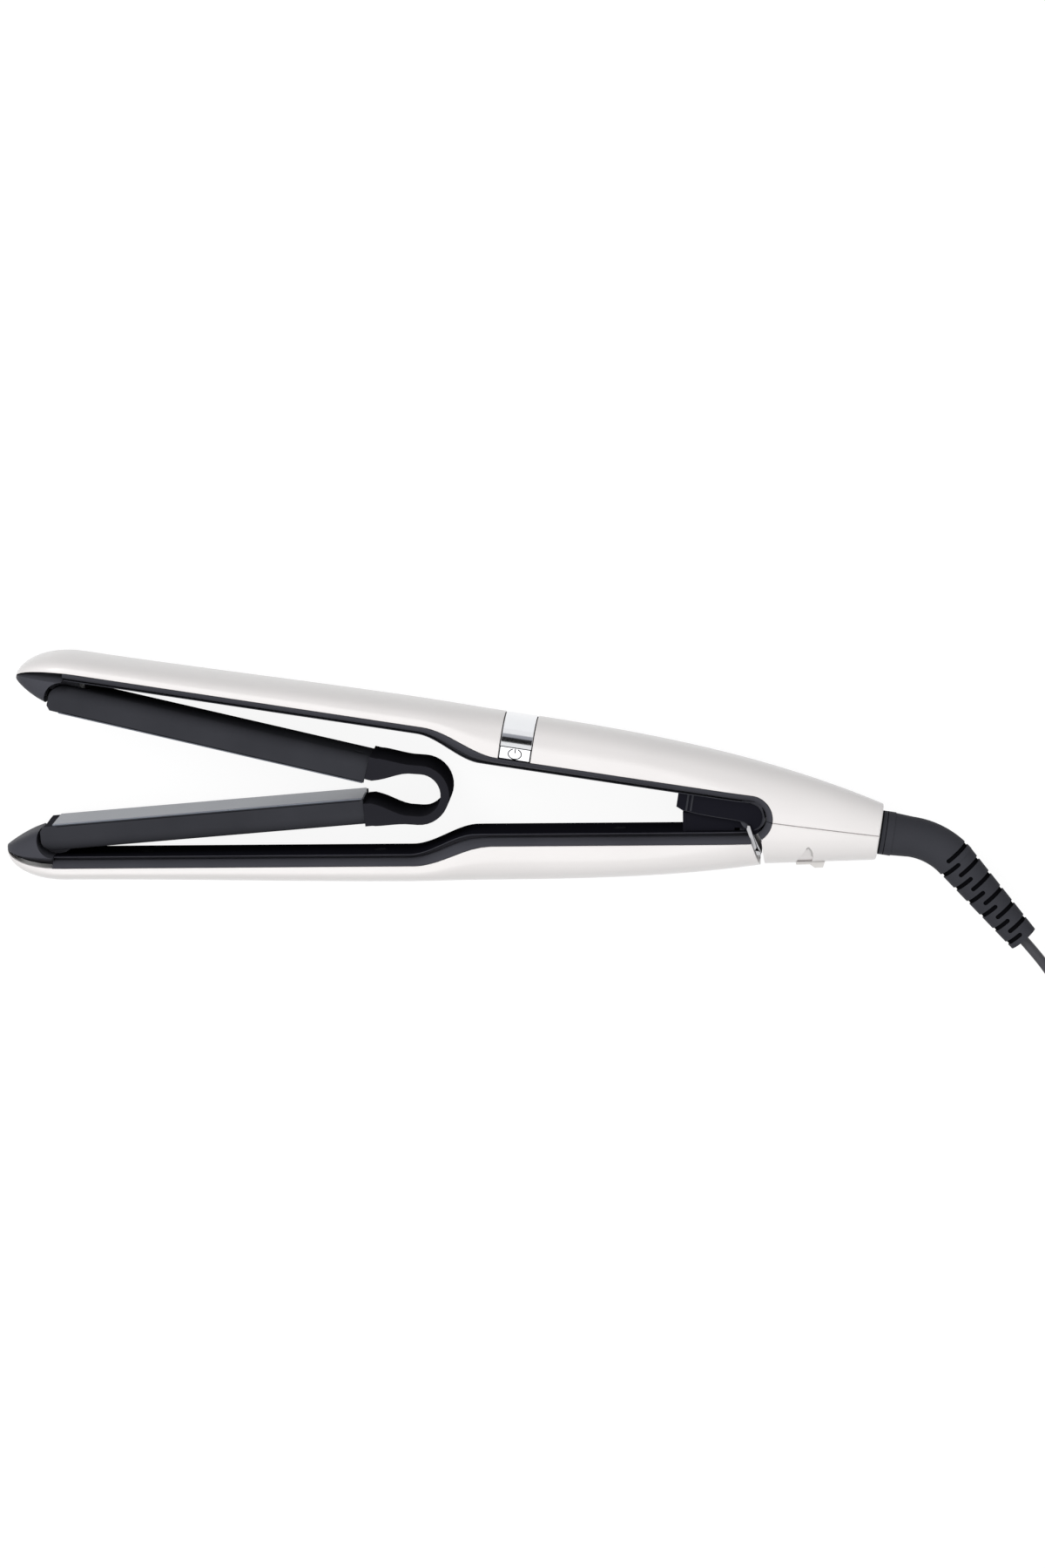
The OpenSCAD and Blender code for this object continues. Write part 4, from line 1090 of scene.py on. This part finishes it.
def add_eased(*nodes):
    """The pieces that stand for these nodes."""
    pieces = []
    for node, body, slot, radius in EASED:
        if node in nodes:
            piece = copied(node, node + "_part")
            soften(piece, radius, 3)
            pieces.append(belongs(piece, body, slot, node))
    return pieces


def add_loop():
    """A copy of the loop with eased edges, in its own finish, in place of the CAD node."""
    loop = copied("flex_loop", "flex_loop_part")
    soften(loop, 0.9, 4)
    paint(loop, FINISH["loop_plastic"])
    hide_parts("flex_loop")
    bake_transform(loop)


def add_carriers():
    """A fine groove runs along each side of a carrier, just behind its edge beside the plate."""
    start, end, deep = CARRIER_GROOVE
    for side, arm in (("upper", UPPER), ("lower", LOWER)):
        piece = copied(side + "_carrier", side + "_carrier_part")
        for low, high in both_sides(CARRIER_W / 2 - deep, CARRIER_W / 2 + 1):
            cut(piece, Shape().box((CARRIER_GROOVE_X[0], CARRIER_LIP_Y + start, low),
                                   (CARRIER_GROOVE_X[1], CARRIER_LIP_Y + end, high)).placed(arm @ TILTED))
        soften(piece, 0.12)
        belongs(piece, side + "_carrier", "carrier_plastic", side + "_carrier")


def add_spring():
    """The steel leaf in the gap behind the lower arm."""
    leaf = Shape()
    for low, high in reversed(both_sides(*LEAF_Z)):
        leaf.prism(LEAF, low, high)
    leaf.prism(LEAF_BAR, -LEAF_Z[0], LEAF_Z[0])
    leaf.prism(LEAF_FOOT, *LEAF_FOOT_Z)
    piece = mesh_object("opening_spring_leaf", leaf.placed(UPPER))
    soften(piece, 0.12)
    belongs(piece, "body", "steel", "opening_spring", finish="spring_steel")


def add_plates():
    """The plates sit in the carriers with a thin gap along each side."""
    for side in ("upper", "lower"):
        plate = copied(side + "_plate", side + "_plate_part")
        for vertex in plate.data.vertices:
            vertex.co.z = HINGE.z + (vertex.co.z - HINGE.z) * PLATE_SHARE
        soften(plate, 0.25, 3)
        belongs(plate, side + "_carrier", "plate", side + "_plate")


def add_lock_slider():
    """A thin plate on the shell with a tab for the finger, a stem through the shell and a tongue inside."""
    slider = Shape()
    step = LOCK_HALF_W / LOCK_STRIPS
    for i in range(-LOCK_STRIPS, LOCK_STRIPS):
        z = step * (i + 0.5)
        fall = under_at(LOCK_X) * (1 - math.sqrt(1 - (2 * z / ARM_W) ** 2))
        slider.prism([(x, y + fall if y == SLIDER_IN_Y else y) for x, y in SLIDER], step * i, step * (i + 1))
    for box in (LOCK_STEM, LOCK_PAD, LOCK_TONGUE):
        slider.box(*box)
    add_piece("lock_slider_part", slider.placed(lock_frame()), "lock_slider", "lock_plastic", "lock_slider")


def add_shrouds():
    """The cover of the wires slants along its lower edge, with two ribs and a thin raised rim, which are painted
    lighter than the cover: painted highlight along their edges.
    """
    cover = copied("upper_wire_shroud", "upper_wire_shroud_part")
    left, bottom, reach = SHROUD_CUT
    below = [(left, bottom), (left, SHROUD_EDGE[0][1] + 0.4)] + list(SHROUD_EDGE)
    below.append((SHROUD_EDGE[-1][0], bottom))
    cut(cover, Shape().prism(below, -reach, reach).placed(UPPER))
    soften(cover, 0.2)
    belongs(cover, "body", "black_plastic", "upper_wire_shroud")
    wall = Shape()
    for box in LOWER_SHROUD:
        wall.box(*box)
    add_piece("lower_wire_shroud_wall", wall.placed(LOWER), "lower_arm", "black_plastic")
    ribs = Shape()
    for x, end_x in RIB_X:
        for low, high in both_sides(SHROUD_Z - 0.2, SHROUD_Z + RIB_T):
            ribs.box((x, RIB_Y[0], low), (end_x, RIB_Y[1], high))
    for (x, y), (end_x, end_y) in zip(SHROUD_EDGE, SHROUD_EDGE[1:]):
        for low, high in both_sides(SHROUD_Z - 0.2, SHROUD_Z + RIM_T):
            ribs.prism([(x, y), (end_x, end_y), (end_x, end_y + RIM_W), (x, y + RIM_W)], low, high)
    piece = mesh_object("shroud_ribs", ribs.placed(UPPER))
    soften(piece, 0.08)
    # ribs and rim in the carriers' lighter finish: painted highlight on the black cover
    belongs(piece, "body", "black_plastic", finish="carrier_plastic")
    arc = [math.radians(a) for a in range(-50, -91, -10)]
    corner = [(ROUND_X + CORNER_R * math.cos(a), CORNER_R * math.sin(a)) for a in arc]
    outline = [(x, CORNER_Y[0]) for x in CORNER_X] + corner + [(CORNER_X[0], CORNER_Y[1])]
    filler = Shape().prism(outline, -CORNER_Z, CORNER_Z)
    add_piece("rear_trim_corner", filler.placed(UPPER), "body", "black_plastic", "rear_trim")


def add_relief_core():
    """The dark core that shows in the slots of the strain relief, and two fine rings on its collar. The core is
    partly the cable's own black jacket and partly painted shadow deep in the slots; the rings are painted shadow
    for two fine grooves.
    """
    start = Vector((BEND_X + ELBOW_R * math.sin(ELBOW_BEND), ELBOW_R * (math.cos(ELBOW_BEND) - 1), 0))
    place = Matrix.Translation(start) @ Matrix.Rotation(-ELBOW_BEND, 4, "Z")
    turns = [2 * math.pi * k / 32 for k in range(32)]
    rings = []
    for i in range(13):
        x, radius = mix(*CORE_X, i / 12), mix(*TAIL_R, i / 12) - SLOT_DEPTH
        rings.append([Vector((x, radius * math.cos(a), radius * math.sin(a))) for a in turns])
    core = Shape().loft(rings).placed(UPPER @ place)
    add_piece("strain_relief_core", core, "cord_swivel", "dark_trim", finish="recess_shadow_and_print_black")
    lines = Shape()
    for x in COLLAR_LINES:
        lines.drum((x, 0, 0), (1, 0, 0), COLLAR_R + 0.02, 0.25, 64)
    add_piece("collar_lines", lines.placed(UPPER), "cord_swivel", "dark_trim", finish="recess_shadow_and_print_black")


# -------- cord
def coil_path():
    """Two layers of turns on edge: inwards below, then outwards on top."""
    points = []
    steps = int((COIL_TO - COIL_FROM) / 10)
    for i in range(steps + 1):
        share = i / steps
        inwards = 1 - abs(2 * share - 1)
        radius = mix(*COIL_R, inwards)
        turn = math.radians(COIL_FROM + share * (COIL_TO - COIL_FROM))
        climb = ease((share - CLIMB_FROM) / CLIMB_SHARE)
        height = CORD_W / 2 + LEAD_GAP + climb * (CORD_W + LEAD_GAP)
        points.append(on_table(COIL_CENTRE[0] + radius * math.cos(turn),
                               COIL_CENTRE[1] + radius * math.sin(turn), height))
    return points


def add_cord():
    run = smooth_path([on_table(*p) for p in RUN_ROUTE], 4)
    tail = smooth_path([on_table(*p) for p in TAIL_ROUTE], 4)
    path = run[:-1] + coil_path() + tail[1:]

    def section(_):
        ring = []
        for k in range(28):
            angle = 2 * math.pi * (k + 0.5) / 28
            u, v = math.cos(angle), math.sin(angle)
            reach = LEAD_APART * abs(v) + math.sqrt(LEAD_R ** 2 - (LEAD_APART * u) ** 2)
            ring.append((u * reach * MM, v * reach * MM))
        return ring

    lead = tube("mains_lead", path, section)
    paint(lead, FINISH["cord"])
    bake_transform(lead)
    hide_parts("cord_run", "cord_coil", "cord_tail")
    add_eased("cord_tie", "plug_body", "plug_pins")


# -------- floor and light
def background_ray(nodes, links):
    """1 for the rays that show the background: from the camera, and through or off a glossy surface."""
    rays = nodes.new("ShaderNodeLightPath")
    total = rays.outputs["Is Camera Ray"]
    for name in ("Is Glossy Ray", "Is Transmission Ray"):
        join = nodes.new("ShaderNodeMath")
        join.operation = "MAXIMUM"
        links.new(total, join.inputs[0])
        links.new(rays.outputs[name], join.inputs[1])
        total = join.outputs["Value"]
    return total


def add_floor():
    sheet = Shape()
    corners = ((-1, -1), (1, -1), (1, 1), (-1, 1))
    sheet.vertices = [Vector((x * FLOOR_SIZE, y * FLOOR_SIZE, 0)) for x, y in corners]
    sheet.faces = [(0, 1, 2, 3)]
    floor = mesh_object("floor", sheet)
    material, nodes, links, shader = new_material("floor")
    shader.inputs["Base Color"].default_value = (FLOOR_TONE, FLOOR_TONE, FLOOR_TONE, 1)
    shader.inputs["Roughness"].default_value = 0.9
    shader.inputs["Specular IOR Level"].default_value = 0.0
    glow = nodes.new("ShaderNodeMath")
    glow.operation = "MULTIPLY"
    glow.inputs[1].default_value = FLOOR_GLOW
    links.new(background_ray(nodes, links), glow.inputs[0])
    shader.inputs["Emission Color"].default_value = (1, 1, 1, 1)
    links.new(glow.outputs["Value"], shader.inputs["Emission Strength"])
    paint(floor, material)


def add_area_light(name, place, size, power):
    light = bpy.data.lights.new(name, "AREA")
    light.shape = "DISK"
    light.size = size
    light.energy = power
    obj = bpy.data.objects.new(name, light)
    bpy.context.scene.collection.objects.link(obj)
    obj.location = at(*place)
    obj.rotation_euler = (at(*place) - at(*LIGHT_AIM)).to_track_quat("Z", "Y").to_euler()


def add_card(name, steep, flat, tone):
    """A card over the arm's back that the bright band reflects. Its angles are from the vertical."""
    sheet = Shape()
    for angle in (steep, flat):
        for x in (-CARD_HALF, CARD_HALF):
            a = math.radians(angle)
            sheet.vertices.append(HINGE + Vector((x, CARD_AWAY * math.sin(a), CARD_AWAY * math.cos(a))))
    sheet.faces = [(0, 1, 3, 2)]
    card = mesh_object(name, sheet)
    material, _, _, shader = new_material(name)
    shader.inputs["Base Color"].default_value = (0, 0, 0, 1)
    shader.inputs["Specular IOR Level"].default_value = 0.0
    shader.inputs["Emission Color"].default_value = (0.9, 0.92, 1, 1)
    shader.inputs["Emission Strength"].default_value = tone
    paint(card, material)


def add_light():
    """A white backdrop for the camera, and for the object a sky that darkens towards the horizon."""
    scene = bpy.context.scene
    scene.view_settings.view_transform = "Standard"
    world = bpy.data.worlds.new("studio")
    world.use_nodes = True
    scene.world = world
    nodes, links = world.node_tree.nodes, world.node_tree.links
    back = nodes["Background"]
    back.inputs["Color"].default_value = (1, 1, 1, 1)
    space = nodes.new("ShaderNodeTexCoord")
    split = nodes.new("ShaderNodeSeparateXYZ")
    links.new(space.outputs["Generated"], split.inputs["Vector"])
    sky = nodes.new("ShaderNodeMapRange")
    sky.inputs["From Min"].default_value = 0.0
    sky.inputs["From Max"].default_value = 0.9
    sky.inputs["To Min"].default_value = SKY[0]
    sky.inputs["To Max"].default_value = SKY[1]
    links.new(split.outputs["Z"], sky.inputs["Value"])
    level = nodes.new("ShaderNodeMapRange")
    links.new(background_ray(nodes, links), level.inputs["Value"])
    links.new(sky.outputs["Result"], level.inputs["To Min"])
    level.inputs["To Max"].default_value = 1.0
    links.new(level.outputs["Result"], back.inputs["Strength"])
    add_area_light("key", *KEY)
    add_area_light("fill", *FILL)
    for i, (steep, flat, tone) in enumerate(CARDS):
        add_card("card_" + str(i + 1), steep, flat, tone)


add_camera()
add_cord()
add_upper_shell()
add_lower_shell()
add_rear_lower_shell()
add_upper_trim()
add_lower_trim()
add_rear_trim()
add_tip_cap("upper_tip_moulding", UPPER, "body", "upper_tip_cap")
add_tip_cap("lower_tip_moulding", LOWER, "lower_arm", "lower_tip_cap")
add_band()
add_power_button()
add_loop()
add_plates()
add_relief_core()
add_carriers()
add_spring()
add_shrouds()
add_lock_slider()
add_eased("lower_wire_shroud", "temp_up_button", "temp_down_button")
add_floor()
add_light()
